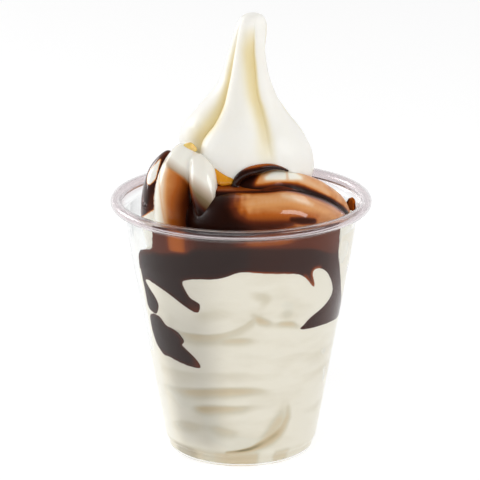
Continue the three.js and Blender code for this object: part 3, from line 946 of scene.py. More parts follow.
def crease_depths(azimuth, z):
    """How hollow each place on the wall is, from 0 on a turn to 1 in a crease; it sets both the depth and the painted
    shade of the creases.
    """
    u = azimuth * ARC
    total = np.zeros(np.broadcast(azimuth, z).shape)
    for crease in CREASES:
        line = spline([(a * ARC, h, 0, up, down, deep) for a, h, up, down, deep in crease], 40)
        nearest = np.full(total.shape, 1e9)
        here = np.zeros(total.shape)
        for (ax, ay, _, *start), (bx, by, _, *end) in zip(line[:-1], line[1:]):
            dx, dy = bx - ax, by - ay
            t = np.clip(((u - ax) * dx + (z - ay) * dy) / (dx * dx + dy * dy), 0, 1)
            reach = np.hypot(u - ax - t * dx, z - ay - t * dy)
            above = (z - ay) * dx - (u - ax) * dy > 0
            width = np.where(above, mix(start[0], end[0], t), mix(start[1], end[1], t))
            closer = reach < nearest
            nearest = np.where(closer, reach, nearest)
            here = np.where(closer, mix(start[2], end[2], t) * np.exp(-((reach / width) ** 2.6)), here)
        total = np.maximum(total, here)
    side, front = on_wall(azimuth)
    wander = bumps(waves(17, 8, 30, 80), side, front, z)
    strength = bumps(waves(18, 8, 14, 34), side, front, z * 2.2)
    turns = z / COIL_PITCH - azimuth / 360 + 0.13 * wander
    coil = np.clip(0.24 + 0.26 * strength, 0, 0.6) * np.abs(np.cos(math.pi * turns)) ** 6
    away = ease(COIL_FROM, COIL_FULL, np.abs(azimuth))
    return np.maximum(total, coil * away * ease(6, 12, z))


# Painted shade round the foot of the filling, by azimuth.
FOOT_PAINTED_SHADE = [
    (-180, 0.2), (-70, 0.2), (-60, 0.3), (-46, 0.34), (-38, 0.36), (-26, 0.3), (-17, 0.46), (11, 0.48), (16, 0.02),
    (24, 0.02), (28, 0.4), (37, 0.4), (42, 0.08), (60, 0.1), (180, 0.2),
]


def fill_top(azimuth):
    """Height of the soft serve at the wall, under the sauce."""
    return 79.5 - 6.5 * plateau(azimuth, -140, -122, -64, -58) + 6.8 * plateau(azimuth, 57, 61, 92, 99)


def filling_depth(az, z, top, hollow, slack, sauce):
    """How far the filling stays off the plastic: in creases and loose places, under sauce, and at the far left."""
    loose = 0.5 * ease(0.75, 1.7, slack)
    left = plateau(az, -128, -112, -72.5, -68) * ease(37, 44, z) * mix(2.6, 5.4, ease(58, 72, z))
    ledge = ease(0, 1, (z - top + 3.2) / 3.2) * 1.1
    creased = settings().serve.crease * MM * hollow**1.3 * 0.75
    depth = creased + loose * 0.5 + 0.2 * np.clip(sauce, 0, 3) + left + ledge * (sauce < 0.4)
    return depth + np.where(az > 61, 0.16, 0) * ease(60, 66, z) * (1 - ease(84, 96, az))


def filling_shade(azimuth, heights):
    """Painted shade on the filling, a half in front: greyer at the left of the front and its foot; painted light past
    that makes it lighter.
    """
    # side and foot are painted shade; far is painted light.
    side = ease(-6, -28, azimuth) * ease(-68, -42, azimuth) * mix(0.55, 1.0, ease(66, 50, heights))
    side = side * ease(2, 12, heights)
    far = ease(-42, -70, azimuth) * ease(-130, -100, azimuth) * ease(4, 6.5, heights)
    foot = ease(-66, -58, azimuth) * ease(-34, -42, azimuth) * ease(6.4, 4.6, heights)
    return 0.5 + 0.5 * side - 0.26 * far + 0.42 * foot


FILLING_FROM = 5.0  # height where the filling starts to follow the wall
FILLING_TOP = 73.0  # height that its top falls to in the middle
HIGH_RINGS = [(0.985, 0.5), (0.95, 0.75), (0.88, 0.4), (0.75, -0.4), (0.55, -1), (0.3, -1.2), (0.1, -1.2)]


def low_rings():
    """Radius and height of the filling's rings below the wall, from the wall in to the middle of the base."""
    cup = settings().cup
    wall = inner_radius(FILLING_FROM) + INTO_WALL
    foot = (cup.foot_radius - cup.sheet) * MM + INTO_WALL
    base = cup.sheet * MM - INTO_WALL
    middle = (cup.punt_height + cup.sheet) * MM - INTO_WALL
    return [
        (wall - 0.3, 4.72), (foot + 0.6, 4.3), (foot + 0.12, 3.75), (foot, 3.2), (foot, 2.4), (foot - 0.08, 1.8),
        (foot - 0.45, 1.1), (foot - 1.0, base + 0.2), (foot - 1.8, base), (22.4, base), (21.4, base + 0.08),
        (20.6, 0.98), (19.7, 1.8), (19.0, 2.3), (18.2, middle - 0.05), (17, middle), (13, middle), (8, middle),
        (3, middle),
    ]


def wall_grid(radius, low, high, height):
    """Azimuths round a radius, and a column from low to high over a length, for faces of the size asked for."""
    step = settings().serve.wall_step * MM
    azimuth = np.linspace(-180, 180, int(round(TURN * radius / step)), endpoint=False)
    return azimuth, np.linspace(low, high, int(round(height / step)))[:, None]


def build_cup_serve():
    """The soft serve under the sauce, pressed flat against the wall and the base."""
    azimuth, share = wall_grid(radius=36.5, low=0, high=1, height=75)
    across, rows = len(azimuth), len(share)
    top = fill_top(azimuth)[None, :]
    z = mix(FILLING_FROM, top, share)
    az = np.broadcast_to(azimuth[None, :], z.shape)
    sauce = sauce_on_wall(az, z)
    hollow = crease_depths(az, z)
    slack = bumps(waves(settings().serve.seed, 9, 14, 34), *on_wall(az), z)
    radius = inner_radius(z) + INTO_WALL - filling_depth(az, z, top, hollow, slack, sauce)
    below = low_rings()
    rings = [(np.full(across, r), np.full(across, h)) for r, h in below[::-1]]
    rings += zip(radius, z)
    rings += [(radius[-1] * scale, mix(z[-1], FILLING_TOP, 1 - scale) + lift) for scale, lift in HIGH_RINGS]
    radii, heights = (np.array(column) for column in zip(*rings))
    angle = np.radians(azimuth)[None, :]
    grid = np.stack([np.sin(angle) * radii, -np.cos(angle) * radii, heights], axis=-1)
    verts, faces = capped_skin(grid, [0, 0, heights[0].mean()], [0, 0, heights[-1].mean()])
    piece = new_piece("cup_filling", verts, faces, finish("pressed_serve"))
    # Painted shade: the hollow value greys and yellows the filling at the foot and in the creases.
    foot_painted_shade = along(FOOT_PAINTED_SHADE, azimuth)[0][None, :]
    painted_shade = np.zeros(radii.shape)
    painted_shade[:len(below)] = foot_painted_shade
    wall_rows = painted_shade[len(below):len(below) + rows]
    wall_rows += hollow + 0.05 * slack
    wall_rows += (foot_painted_shade - wall_rows) * np.clip(1 - (z - FILLING_FROM) / 1.6, 0, 1)
    # The shade value is painted shade, and painted light at the far left.
    set_values(
        piece,
        hollow=np.concatenate([painted_shade.ravel(), [0.3, 0.3]]),
        shade=np.concatenate([filling_shade(azimuth, heights).ravel(), [0.5, 0.5]]),
    )
    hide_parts("cup_soft_serve")


# Top of the dark band, as azimuth and height; above it the sauce is thinner over the rolls.
BAND_TOP = [
    (-180, 90), (-75, 90), (-65, 79), (-49, 78.6), (-36, 80), (-28, 81.2), (-24, 82.8), (-12, 83.8), (0, 84.6),
    (8, 84), (30, 82.4), (38, 81.6), (48, 78.6), (56, 77), (70, 90), (180, 90),
]


def sauce_thinness(az, z, sauce):
    """How thin, and so how red, the sauce on the wall is: over the rolls, at its shores and at the ends of runs."""
    over = ease(-0.8, 1.8, z - along(BAND_TOP, az)[0])
    left_light = hill(az, -33.5, 6) * ease(80.5, 82.5, z)
    middle_light = hill(az, 14, 16) * ease(84.2, 86.6, z)
    right = ease(28, 40, az) * ease(79, 83, z)
    dark = hill(az, -12, 11)
    thin = over * (0.46 - 0.22 * dark + 0.06 * right) + 0.32 * left_light + 0.26 * middle_light
    thin = np.maximum(thin, 0.14 * ease(1, 6, az) + 0.12 * ease(46, 56, az))
    rim = hill(sauce, 0.1, 0.75, 2)
    shore = 0.35 + 0.4 * ease(0, 6, az) * (1 - ease(24, 32, az))
    drip = plateau(az, 32, 35, 44, 48) * ease(66.5, 67.5, z) * ease(2.2, 0.3, sauce)
    tail = hill(az, -26, 5) * ease(66, 60, z)
    patch_end = hill(az, -27, 4) * ease(43, 39, z)
    thin = np.maximum(thin, np.maximum(rim * shore, 0.7 * drip) * (z < 80))
    thin = np.maximum(thin, np.maximum(0.42 * tail, 0.4 * patch_end))
    smear = ease(92, 94, az) * ease(113, 104, az) * ease(82.5, 85.5, z)
    return np.maximum(thin, smear * (0.66 + 0.16 * ease(0.8, 0.1, sauce)))


def build_wall_sauce():
    """The band of sauce on the wall and the runs below it."""
    azimuth, z = wall_grid(radius=38, low=36, high=89.2, height=53)
    shape = (len(z), len(azimuth))
    z, az = np.broadcast_to(z, shape), np.broadcast_to(azimuth[None, :], shape)
    sauce = sauce_on_wall(az, z)
    angle = np.radians(az)
    reach = inner_radius(z) + INTO_WALL + 0.22 * np.clip(sauce, -0.9, 0)
    reach = reach - 0.35 * ease(86.5, 89.2, z)
    thick = 0.5 + 1.5 * ease(-0.5, 2.5, sauce)
    points = lambda r: np.stack([np.sin(angle) * r, -np.cos(angle) * r, z], axis=-1)
    cell = (sauce[:-1] + sauce[1:]) / 2
    cell = (cell + np.roll(cell, -1, axis=1)) / 2
    verts, quads, used = slab(points(reach), points(reach - thick), cell > -0.75)
    piece = new_piece("wall_sauce", verts, quads, finish("pressed_fudge"))
    outward_faces(piece.data)
    thin = sauce_thinness(az, z, sauce).ravel()
    set_values(piece, thin=np.clip(np.concatenate([thin, thin])[used], 0, 1))
    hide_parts("fudge_sauce")


# ---- the rolls -------------------------------------------------------------------------------------
FRONT_ROLL = [
    (-15, -14, -6, 6), (-10.4, -17.2, -3.6, 8.7), (-6, -21.2, -3.1, 10.3), (-2, -23.6, -2.8, 10.8),
    (3.4, -24.5, -2.8, 10.8), (9.7, -24.1, -2.7, 10.9), (15.2, -21.9, -2.6, 10.9), (21.4, -18, -3.9, 9.8),
    (26.5, -14.1, -5.5, 8.3), (31.2, -9, -7.3, 6), (34.3, -3.6, -9.5, 4.2),
]
BACK_ROLL = [
    (-1, -14.6, 3.4, 6.4), (4.5, -15.3, 5.6, 8.3), (11.7, -13.5, 5.1, 9.1), (18, -12.4, 3, 8.8),
    (23.6, -9.9, 0.9, 7.9), (30.4, -4.5, -3, 6.2), (34.4, 0.6, -7.2, 4.2),
]
LEDGE = [(-8.6, -18.4, 2.4, 7.4), (-3, -18.2, 3, 8), (3, -17.6, 3, 8.2), (8, -17.2, 3, 8), (12, -16.6, 2.4, 6.6)]
OUTER_LOBE = [
    (-27, -7.5, -14, 6.6), (-28, -8, -4.5, 7), (-28.2, -7, 2.5, 6.4), (-27.6, -6.3, 9.5, 4.8),
    (-26.4, -6.1, 14, 3.1), (-25.4, -6, 16.2, 1.9),
]
FRONT_LOBE = [
    (-23.2, -15.8, -13, 6.6), (-23.5, -15.6, -4.5, 6.3), (-23.8, -14.2, 4.5, 6.2), (-22.4, -12.3, 12, 5.7),
    (-19.6, -10.6, 17.3, 4.7),
]
INNER_FOLD = [
    (-10.6, -25, -10, 3.2), (-10.9, -24.2, -4, 3.6), (-11.8, -23, 1.8, 4.4), (-12.9, -20.6, 8, 4.9),
    (-13.3, -17.8, 12.6, 4.8), (-14.6, -15, 16.2, 3.2),
]
REAR_ROLL = [
    (20, 22.3, -8, 6), (14, 24.6, -4.6, 8.6), (9.4, 25.8, -4, 9.8), (0, 27, -3.4, 10.6), (-8, 26.6, -3.4, 10.8),
    (-19.4, 18.7, -5, 9), (-26.3, 9.6, -8, 5.2),
]
SILL = [place(a, 36.2, -8.4) + (4.3,) for a in (-52, -35, -18, 0, 18, 36, 54)]
STRAND = [
    (-2.4, -20.4, 8.2, 1.3), (-0.8, -20.8, 11.8, 1.6), (2.2, -21, 14.1, 1.75), (5.9, -20.4, 15.1, 1.75),
    (10.1, -19.2, 15.6, 1.15), (13.5, -18, 14.9, 0.7), (16.4, -17, 13.5, 0.3),
]


def brushed(value, u, v, strokes):
    """Paints strokes of (points of u, v and half width; softness; value; strength) over a value, in order."""
    for points, soft, target, strength in strokes:
        line = spline([(a, b, 0, w) for a, b, w in points], 20)
        near = np.min([np.hypot(u - a, v - b) - w for a, b, _, w in line], axis=0)
        value = mix(value, target, strength * ease(soft, -soft, near))
    return value


# Strokes on the front roll; the second, light one is a painted highlight, and the fifth, dark one under it is thicker
# sauce and a painted dark reflection.
FRONT_ROLL_GLAZE_AND_HIGHLIGHT = [
    (
        [(3.2, -4, 0.9), (8, -3.2, 1.3), (14, -2.6, 1.6), (20, -3.2, 1.3), (26, -5.4, 0.9), (31, -8.2, 0.5)],
        2.6,
        0.39,
        1.0,
    ),
    ([(14.5, -0.9, 0.3), (18, -1.8, 0.7), (22, -3.1, 0.5), (24.4, -4, 0.2)], 1.3, 0.2, 0.85),
    ([(0.5, -9.4, 1.6), (8, -9, 1.8), (14, -8.6, 1.6), (20, -8.2, 1.0), (26, -8.6, 0.6)], 2.2, 0.62, 1.0),
    ([(-2, -13, 2.6), (5, -12.6, 2.3), (12, -11.9, 1.8), (17, -11.1, 1.2)], 1.8, 0.86, 1.0),
    ([(17.6, -9.7, 0.9), (20.5, -10, 1.3), (24.9, -10.1, 1)], 0.6, 0.87, 1.0),
    ([(28, -8.8, 0.8), (31.4, -7.4, 0.7)], 1.6, 0.5, 0.8),
]
BACK_ROLL_GLAZE = [
    ([(21.5, 5.0, 1.2), (26, 2.8, 1.1), (30, 0, 0.9)], 1.6, 0.32, 0.9),
    ([(22, 2.6, 0.5), (28, 0, 0.5), (32, -3.4, 0.5)], 1.2, 0.56, 0.8),
    ([(9, 5.6, 0.9), (12, 6.6, 1.9), (17, 6.6, 1.8), (20.2, 5.9, 0.9)], 1.3, 0.07, 1.0),
    ([(15.7, 9, 0.3), (16.1, 4.6, 0.45)], 0.6, 0.33, 0.9),
]


def above_rim(stations):
    """Stations with their heights counted from the table."""
    stations = np.array(stations, float)
    stations[:, 2] += rim_height()
    return stations


def slanted(y, z):
    """Height along lines that rise gently to the back, as an eye before the cup sees it."""
    return z + 0.314 * y


def unevenness(seed):
    """The small waves of one roll's surface."""
    return waves(settings().serve.seed * 100 + seed, 8, 7, 20)


def roll_of(stations, seed, depth=0.12):
    return within_cup(uneven(roll(above_rim(stations)), unevenness(seed), depth))


def box_of(*station_lists, margin=2.0):
    """The box round rolls, with a margin."""
    stations = np.concatenate([above_rim(s) for s in station_lists])
    reach = stations[:, 3:4] + margin
    return (stations[:, :3] - reach).min(axis=0), (stations[:, :3] + reach).max(axis=0)


def shaped_piece(name, distance, box, skin, paint):
    """A piece from its distance field in a box; paint gives values by name for each vertex."""
    verts, quads = solid_surface(distance, *box, settings().serve.step * MM)
    piece = new_piece(name, verts, quads, finish(skin))
    outward_faces(piece.data)
    slope = slope_of(distance, verts)
    piece.data.normals_split_custom_set_from_vertices(slope.tolist())
    plain = np.zeros(len(verts))
    columns = {"shade": plain, "dull": plain, **paint(verts, slope)}
    set_values(piece, **{key: np.clip(column, 0, 1) for key, column in columns.items()})
    return piece


def front_roll_solid():
    return roll_of(FRONT_ROLL, 1, 0.05)


def back_roll_solid():
    return roll_of(BACK_ROLL, 2)


POOL_LEVEL = 9.1  # above the rim


def pool_solid():
    """The level patch of sauce between the front roll and the peak."""
    heap = roll(above_rim(LEDGE))
    level = rim_height() + POOL_LEVEL

    def distance(x, y, z):
        return soft_max(heap(x, y, z), z - level - 0.02 * (y + 18), 1.2)

    return distance


def left_curl_solid():
    outer, front = roll_of(OUTER_LOBE, 4), roll_of(FRONT_LOBE, 5, 0.15)
    return lambda x, y, z: soft_min(outer(x, y, z), front(x, y, z), 0.5)


def inner_fold_solid():
    return roll_of(INNER_FOLD, 6)


def streaks(verts, seed, stretch, amount):
    """Fine uneven bands that run along one direction."""
    return amount * bumps(waves(seed, 10, 1.4, 6), *(verts * np.asarray(stretch)).T)


def front_and_slant(verts):
    """Position sideways, and slanted height above the rim."""
    x, y, z = verts.T
    return x, slanted(y, z) - rim_height()


def build_front_roll():
    back = back_roll_solid()

    def paint(verts, slope):
        x, h = front_and_slant(verts)
        value = 0.49 + streaks(verts, 31, (0.35, 1, 1), 0.02)
        value = value + streaks(verts, 35, (1.2, 0.3, 0.3), 0.05) * ease(8, 0, x)
        # The strokes include a painted highlight and a painted dark reflection.
        value = brushed(value, x, h, FRONT_ROLL_GLAZE_AND_HIGHLIGHT)
        value = mix(value, 1.0, ease(2.2, -7.2, x - 0.5 * np.maximum(0, -5 - h)))
        value = mix(value, 1.0, ease(3.6, 0.4, back(*verts.T)))
        return {"sauce": value, "dull": ease(0.62, 0.9, value)}

    skin, slot = "coated_serve", "coated_serve"
    piece = shaped_piece("front_roll_coated", front_roll_solid(), box_of(FRONT_ROLL), skin, paint)
    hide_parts("front_roll")


def build_back_roll():
    front = front_roll_solid()

    def paint(verts, slope):
        x, h = front_and_slant(verts)
        value = brushed(0.46 + streaks(verts, 32, (0.35, 1, 1), 0.03), x, h, BACK_ROLL_GLAZE)
        value = np.maximum(value, ease(9.4, 4.4, x + 0.5 * (7 - h)))
        reach = mix(3.2, 1.8, ease(18, 28, x))
        value = mix(value, 1.0, ease(reach, 0.4, front(*verts.T)))
        return {"sauce": value, "dull": ease(0.62, 0.9, value)}

    skin, slot = "dull_coated_serve", "coated_serve"
    piece = shaped_piece("back_roll_coated", back_roll_solid(), box_of(BACK_ROLL), skin, paint)
    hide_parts("back_roll")


# A patch on the dark outer lobe painted white: a painted highlight.
OUTER_LOBE_PAINTED_HIGHLIGHT = [
    (
        [(-28.2, 12.5, 0.3), (-29.3, 10.5, 0.8), (-30.4, 8.3, 1.35), (-31.2, 6, 1.5), (-31.9, 4.3, 0.8)],
        0.35,
        0.0,
        1.0,
    ),
]
# The glaze on the curl by slanted height above the rim: where it starts and ends in x on the front lobe,
# and where the painted shade on the fold starts.
CURL_GLAZE = [
    (-16, -26, -8, -9), (-8, -26.6, -12.4, -11.3), (-6, -26.8, -13.6, -13.2), (-4.3, -26.9, -15, -14.3),
    (-1, -27, -16.4, -15.6), (2, -26.9, -17.3, -16.2), (4, -26.8, -18.3, -16.6), (6, -26.6, -20.1, -18),
    (7.8, -26.2, -22.5, -20), (9.4, -25.7, -24.6, -22), (10.6, -25.3, -25.7, -24), (24, -25, -27, -25),
]


def lobe_glaze(x, y, h):
    """Sauce on the front lobe and the fold, the shade on them, and where they are painted."""
    start, end, fold_edge = along(CURL_GLAZE, h)
    across = x - start
    low = ease(4, -5, h)
    glaze = 0.3 + 0.17 * ease(-0.6, 1.8, across) + 0.028 * np.maximum(across - 1, 0) * (1 + 0.4 * low) + 0.04 * low
    value = mix(0.05 + 0.1 * ease(-3, -1.4, across), glaze, ease(-2, 1.4, across))
    value = mix(value, 0.05, ease(-1.3, 1.3 + 0.8 * low, x - end) * ease(-14, -3, h))
    value = np.maximum(value, 0.95 * ease(-4.6, -8.6, h - 0.25 * (x + 10)) * ease(-17, -15, x))
    line = np.exp(-(((across + 1.9 - 0.1 * (9 - h)) / 0.34) ** 2)) * ease(9.4, 8, h) * ease(-13, -11, h)
    value = mix(value, 0.85, 0.15 * line)
    value = mix(0.1 + 0.3 * ease(-6, -12, h), value, ease(-6, -9, y))
    shade = np.clip(0.42 - 0.1 * h - 0.08 * (x + 12.6), 0, 1) * ease(end - 1.6, end + 0.6, x) * ease(-6, -9, y)
    fold = ease(fold_edge + 2.4, fold_edge - 1.0, x) * ease(6.5, -1.0, h) * ease(end - 3, end, x)
    return value, np.maximum(shade, 0.5 * fold)


def outer_lobe_glaze(verts, x, y, h):
    """Sauce on the dark outer lobe, which is bare below a slanting line and at the back; one patch is painted white as
    a highlight.
    """
    dark = 0.9 + streaks(verts, 33, (1, 1, 0.4), 0.04) - 0.1 * ease(10, 17, h)
    # The patch painted white is a painted highlight on the front.
    dark = mix(dark, brushed(dark, x, h, OUTER_LOBE_PAINTED_HIGHLIGHT), ease(-5.5, -8, y))
    dark = mix(dark, 0.06, ease(-4.1, -5.1, h - 0.62 * (x + 28.7)))
    return mix(0.12 + 0.2 * ease(6, -4, h), dark, ease(4.5, 1.5, y))


def build_left_curl():
    outer, lobe, fold = (roll(above_rim(part)) for part in (OUTER_LOBE, FRONT_LOBE, INNER_FOLD))
    bumpy = unevenness(4)

    def distance(x, y, z):
        front = soft_min(lobe(x, y, z), fold(x, y, z), 2.4)
        return soft_min(outer(x, y, z), front, 0.5) + 0.12 * bumps(bumpy, x, y, z)

    def paint(verts, slope):
        x, y, z = verts.T
        h = slanted(y, z) - rim_height()
        value, shade = lobe_glaze(x, y, h)
        on_outer = outer(x, y, z) < np.minimum(lobe(x, y, z), fold(x, y, z))
        return {
            "sauce": np.where(on_outer, outer_lobe_glaze(verts, x, y, h), value),
            "shade": np.where(on_outer, 0, shade),
            "dull": np.where(on_outer, 0, np.maximum(ease(0.55, 0.85, value), shade)),
        }

    box = box_of(OUTER_LOBE, FRONT_LOBE, INNER_FOLD)
    piece = shaped_piece("left_curl", within_cup(distance), box, "coated_serve", paint)
    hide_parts("left_petal", "left_fold")


def build_rear_roll():
    rim = rim_height()
    solid = roll_of(REAR_ROLL, 7, 0.25)

    def paint(verts, slope):
        x, y, z = verts.T
        patches = bumps(waves(71, 8, 12, 26), x, y, z)
        ends = np.maximum(ease(10, 20, x), ease(-14, -24, x))
        value = 0.05 + 0.42 * ease(0.1, 1.1, patches) + 0.3 * ends
        value = np.maximum(value, 0.9 * ease(rim + 1.5, rim - 5, z))
        return {"sauce": value + streaks(verts, 34, (0.4, 1, 1), 0.03)}

    piece = shaped_piece("rear_roll_soft", solid, box_of(REAR_ROLL), "coated_serve", paint)
    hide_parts("rear_roll")


def side_room(x, y):
    """How far the sauce layer stays off the wall, at the left and at the right."""
    azimuth = azimuth_of(x, y)
    return 12 * plateau(azimuth, -134, -118, -52, -47) + 4.6 * plateau(azimuth, 52, 57, 100, 116)


CREVICE = [(8, -21, 8, 2.2), (14, -21, 7.4, 2.6), (22, -17, 4.4, 2.8), (29, -10.5, 0.4, 2.8), (34, -3, -4.5, 3)]
CURL_VALLEY = [(-17.6, -19.6, 3, 1.6), (-17, -21, -1, 4), (-15.6, -22.6, -6, 6), (-22, -26, -11, 5)]
POOL_REACH = (40.5, 16, 19)  # mm from the axis, below the rim and above it, that hold the sauce


def build_sauce_pool():
    """The sauce between the rolls: its level, the spill at the front, and what fills the crevices."""
    rim = rim_height()
    pool, sill, strand = pool_solid(), roll_of(SILL, 8, 0.2), roll(above_rim(STRAND))
    rolls = [front_roll_solid(), back_roll_solid(), left_curl_solid(), inner_fold_solid()]
    foot = peak_foot()
    field = waves(81, 8, 9, 24)
    crevices, valley = roll(above_rim(CREVICE)), roll(above_rim(CURL_VALLEY))

    def distance(x, y, z):
        level = (z - (rim - 10 + 0.7 * bumps(field, x, y, 0 * z))).astype(np.float32) + 0 * x
        found = soft_min(soft_min(pool(x, y, z), sill(x, y, z), 3.0), level, 4.0)
        fill = soft_min(foot(x, y, z), pool(x, y, z), 3.0)
        for solid in rolls:
            fill = soft_min(fill, solid(x, y, z), 3.0)
        near = np.minimum(crevices(x, y, z), valley(x, y, z))
        found = soft_min(found, soft_max(fill + 0.5, near, 1.2), 0.8)
        found = soft_min(found, strand(x, y, z), 0.9)
        wall = np.hypot(x, y) - (inner_radius(z) - 0.5 - side_room(x, y))
        return soft_max(found, wall, 0.8)

    def paint(verts, slope):
        x, y, z = verts.T
        h = slanted(y, z) - rim
        film = 0.08 * ease(0.2, 1.2, bumps(waves(82, 8, 4, 12), x, y, z))
        right = ease(10, 30, x) * ease(rim - 8, rim + 2, z) * 0.3
        # Lighter sauce on the upward faces at the level and on its shelf: a painted sheen.
        top_sheen = 0.75 * ease(0.35, 0.8, slope[:, 2]) * ease(8, 9.6, h + 0.0072 * (x - 10) ** 2)
        under = np.min([solid(x, y, z) for solid in rolls[:2]], axis=0)
        edge = 0.5 * ease(0.9, 0.1, under) * ease(4, 9, x)
        shelf_sheen = 0.68 * ease(0.5, 0.9, slope[:, 2]) * ease(7.4, 8.4, z - rim) * ease(10.4, 9.8, z - rim)
        shelf_sheen = shelf_sheen * ease(14, 10, x)
        left = ease(-6, -9, x) * ease(6, 4, z - rim)
        return {"thin": np.max([film + right + top_sheen, edge, shelf_sheen], axis=0), "dull": left}

    side, down, up = POOL_REACH
    box = (-side, -side, rim - down), (side, side, rim + up)
    shaped_piece("sauce_pool", distance, box, "fudge", paint)


# ---- the peak --------------------------------------------------------------------------------------
PEAK_LINE = [
    (88, 3, 3, 10), (92, 3.1, 2.8, 15), (96, 3.3, 2.6, 19.6), (99, 3.4, 2.4, 22), (102, 3.4, 2.2, 23.1),
    (106.2, 3.1, 1.9, 23.2), (112, 2.3, 1.5, 22.6), (116.7, 1.6, 1.2, 20.3), (121, 1.1, 1, 17.2),
    (125.3, 1.2, 0.8, 13.9), (130.5, 1.8, 0.6, 10.7), (135, 2.1, 0.4, 8.8), (139.9, 2.3, 0.2, 7.4),
    (145.3, 2.6, 0.1, 6.2), (150.1, 3.3, 0, 5.65), (153.8, 3.8, 0, 5.1), (156, 3.9, 0, 4.3), (157.4, 4, 0, 2.9),
    (157.9, 4, 0, 1.5), (158.1, 4, 0, 0.0),
]
VALLEYS = [
    [
        (88, -66), (108, -60), (111.6, -57), (115.6, -54), (121, -44), (125.6, -43), (132, -50), (136, -54),
        (143, -60), (157.3, -70),
    ],
    [
        (88, 22), (111.2, 22), (115.3, 24), (120.5, 29.5), (125.7, 31), (129.8, 27), (135, 25), (139, 24),
        (143.5, 21), (147.5, 17), (152.8, 10), (157.3, 5),
    ],
    [(88, 98), (120, 104), (140, 96), (157.3, 80)],
    [(88, 168), (120, 176), (140, 168), (157.3, 150)],
    [(88, 232), (120, 238), (140, 226), (157.3, 214)],
]
VALLEY_DEPTH = [
    (88, 0.05, 0.02, 0.05), (100, 0.14, 0.02, 0.1), (106, 0.2, 0.03, 0.15), (111, 0.22, 0.07, 0.18),
    (116, 0.23, 0.13, 0.2), (122, 0.24, 0.17, 0.24), (130, 0.26, 0.21, 0.27), (140, 0.26, 0.25, 0.27),
    (150, 0.2, 0.2, 0.2), (154.6, 0.1, 0.1, 0.1), (156.4, 0.02, 0.03, 0.02), (157.3, 0, 0, 0),
]
# Painted shade in the valleys of the peak by height: how yellow the front left, the front and the others are.
VALLEY_PAINTED_SHADE = [
    (88, 0, 0, 0), (104, 0.25, 0, 0.1), (108, 0.4, 0.18, 0.2), (112, 0.6, 0.36, 0.3), (118, 0.85, 0.6, 0.5),
    (126, 0.95, 0.85, 0.6), (137, 0.9, 0.95, 0.6), (146, 0.5, 0.85, 0.4), (151.5, 0.15, 0.45, 0.15), (156, 0, 0, 0),
    (157.3, 0, 0, 0),
]
FAR_FLUTE_SWELL = ((105, 112, 119, 126, 133, 150, 155, 158), (0, 0.06, 0.1, 0.11, 0.08, 0.1, 0.05, 0))  # by height

# Top of what the peak rests on: azimuths, and heights above the rim there.
SEAT_TOP = (
    (-14, -10, -2.5, 7, 18, 27, 35, 44),
    (8.2, 11.6, 14, 15.1, 15.6, 14.9, 13.5, 11),
)
# Each flute's lean, and how full it is near its start and its end; the last three, behind, are alike.
FLUTE_FULLNESS = [(0.62, 0.62, 1.0), (0.78, 0.95, 0.62), *[(0.78, 0.62, 0.62)] * 3]


def for_each_valley(table, z):
    """A table of (height, front left, front, others), as one row for each of the five valleys."""
    front_left, front, others = along(table, z)
    return np.stack([front_left, front, others, others, others])


def flute_shape(azimuth, z):
    """Share of the radius that the flutes take away, and the painted shade that yellows each place near the valleys.
    """
    valleys = np.stack([along(v, z)[0] for v in VALLEYS])
    depths, painted_shades = for_each_valley(VALLEY_DEPTH, z), for_each_valley(VALLEY_PAINTED_SHADE, z)
    broad = np.clip(np.degrees(4.8 / np.maximum(along(PEAK_LINE, z)[2], 1)), 14, 46)
    az = (azimuth - valleys[0]) % 360
    starts = (valleys - valleys[0]) % 360
    cut, painted_shade = np.zeros(az.shape), np.zeros(az.shape)
    for i, (lean, early, late) in enumerate(FLUTE_FULLNESS):
        start, after = starts[i], (i + 1) % 5
        end = starts[after] if after else np.full_like(start, 360.0)
        here = (az >= start) & (az < end)
        u = np.clip((az - start) / (end - start), 0, 1)
        hump = np.sin(math.pi * u**lean) ** mix(early, late, u)
        depth = mix(depths[i], depths[after], ease(0.1, 0.9, u))
        swell = 0 if after else np.interp(z, *FAR_FLUTE_SWELL)
        cut = np.where(here, depth * (1 - hump) - swell * hump, cut)
        leaving = painted_shades[i] * np.exp(-(((az - start) / (5 if i == 1 else 9)) ** 2))
        left, width, power = np.maximum(end - az, 0), (16 if i else broad), (2 if i else 3)
        nearing = painted_shades[after] * np.exp(-((left / width) ** power))
        painted_shade = np.where(here, np.maximum(leaving, nearing), painted_shade)
    return cut, painted_shade


def peak_radius(azimuth, z):
    """The axis of the peak, its radius with the flutes and its seat on the rolls, and the painted shade that yellows
    each place.
    """
    x, y, radius = along(PEAK_LINE, z)
    cut, deep = flute_shape(azimuth, z)
    side = (azimuth + 180) % 360 - 180
    top = rim_height() + np.interp(side, *SEAT_TOP)
    seat = plateau(side, -17, -8, 38, 52) * ease(top + 0.5, top - 1.7, z)
    return x, y, radius * (1 - cut) - 5 * seat, deep


def peak_foot():
    """Distance to the foot of the peak, near enough for what flows round it."""
    low, high = PEAK_LINE[0][0], 125.0

    def distance(x, y, z):
        mx, my, radius = along(PEAK_LINE, np.clip(z, low, high))
        return (np.hypot(x - mx, y - my) - radius * 0.97) * 0.85

    return distance


PEAK_RINGS = 230
PEAK_SHARE = 0.9985  # of the way up its outline that the rings cover


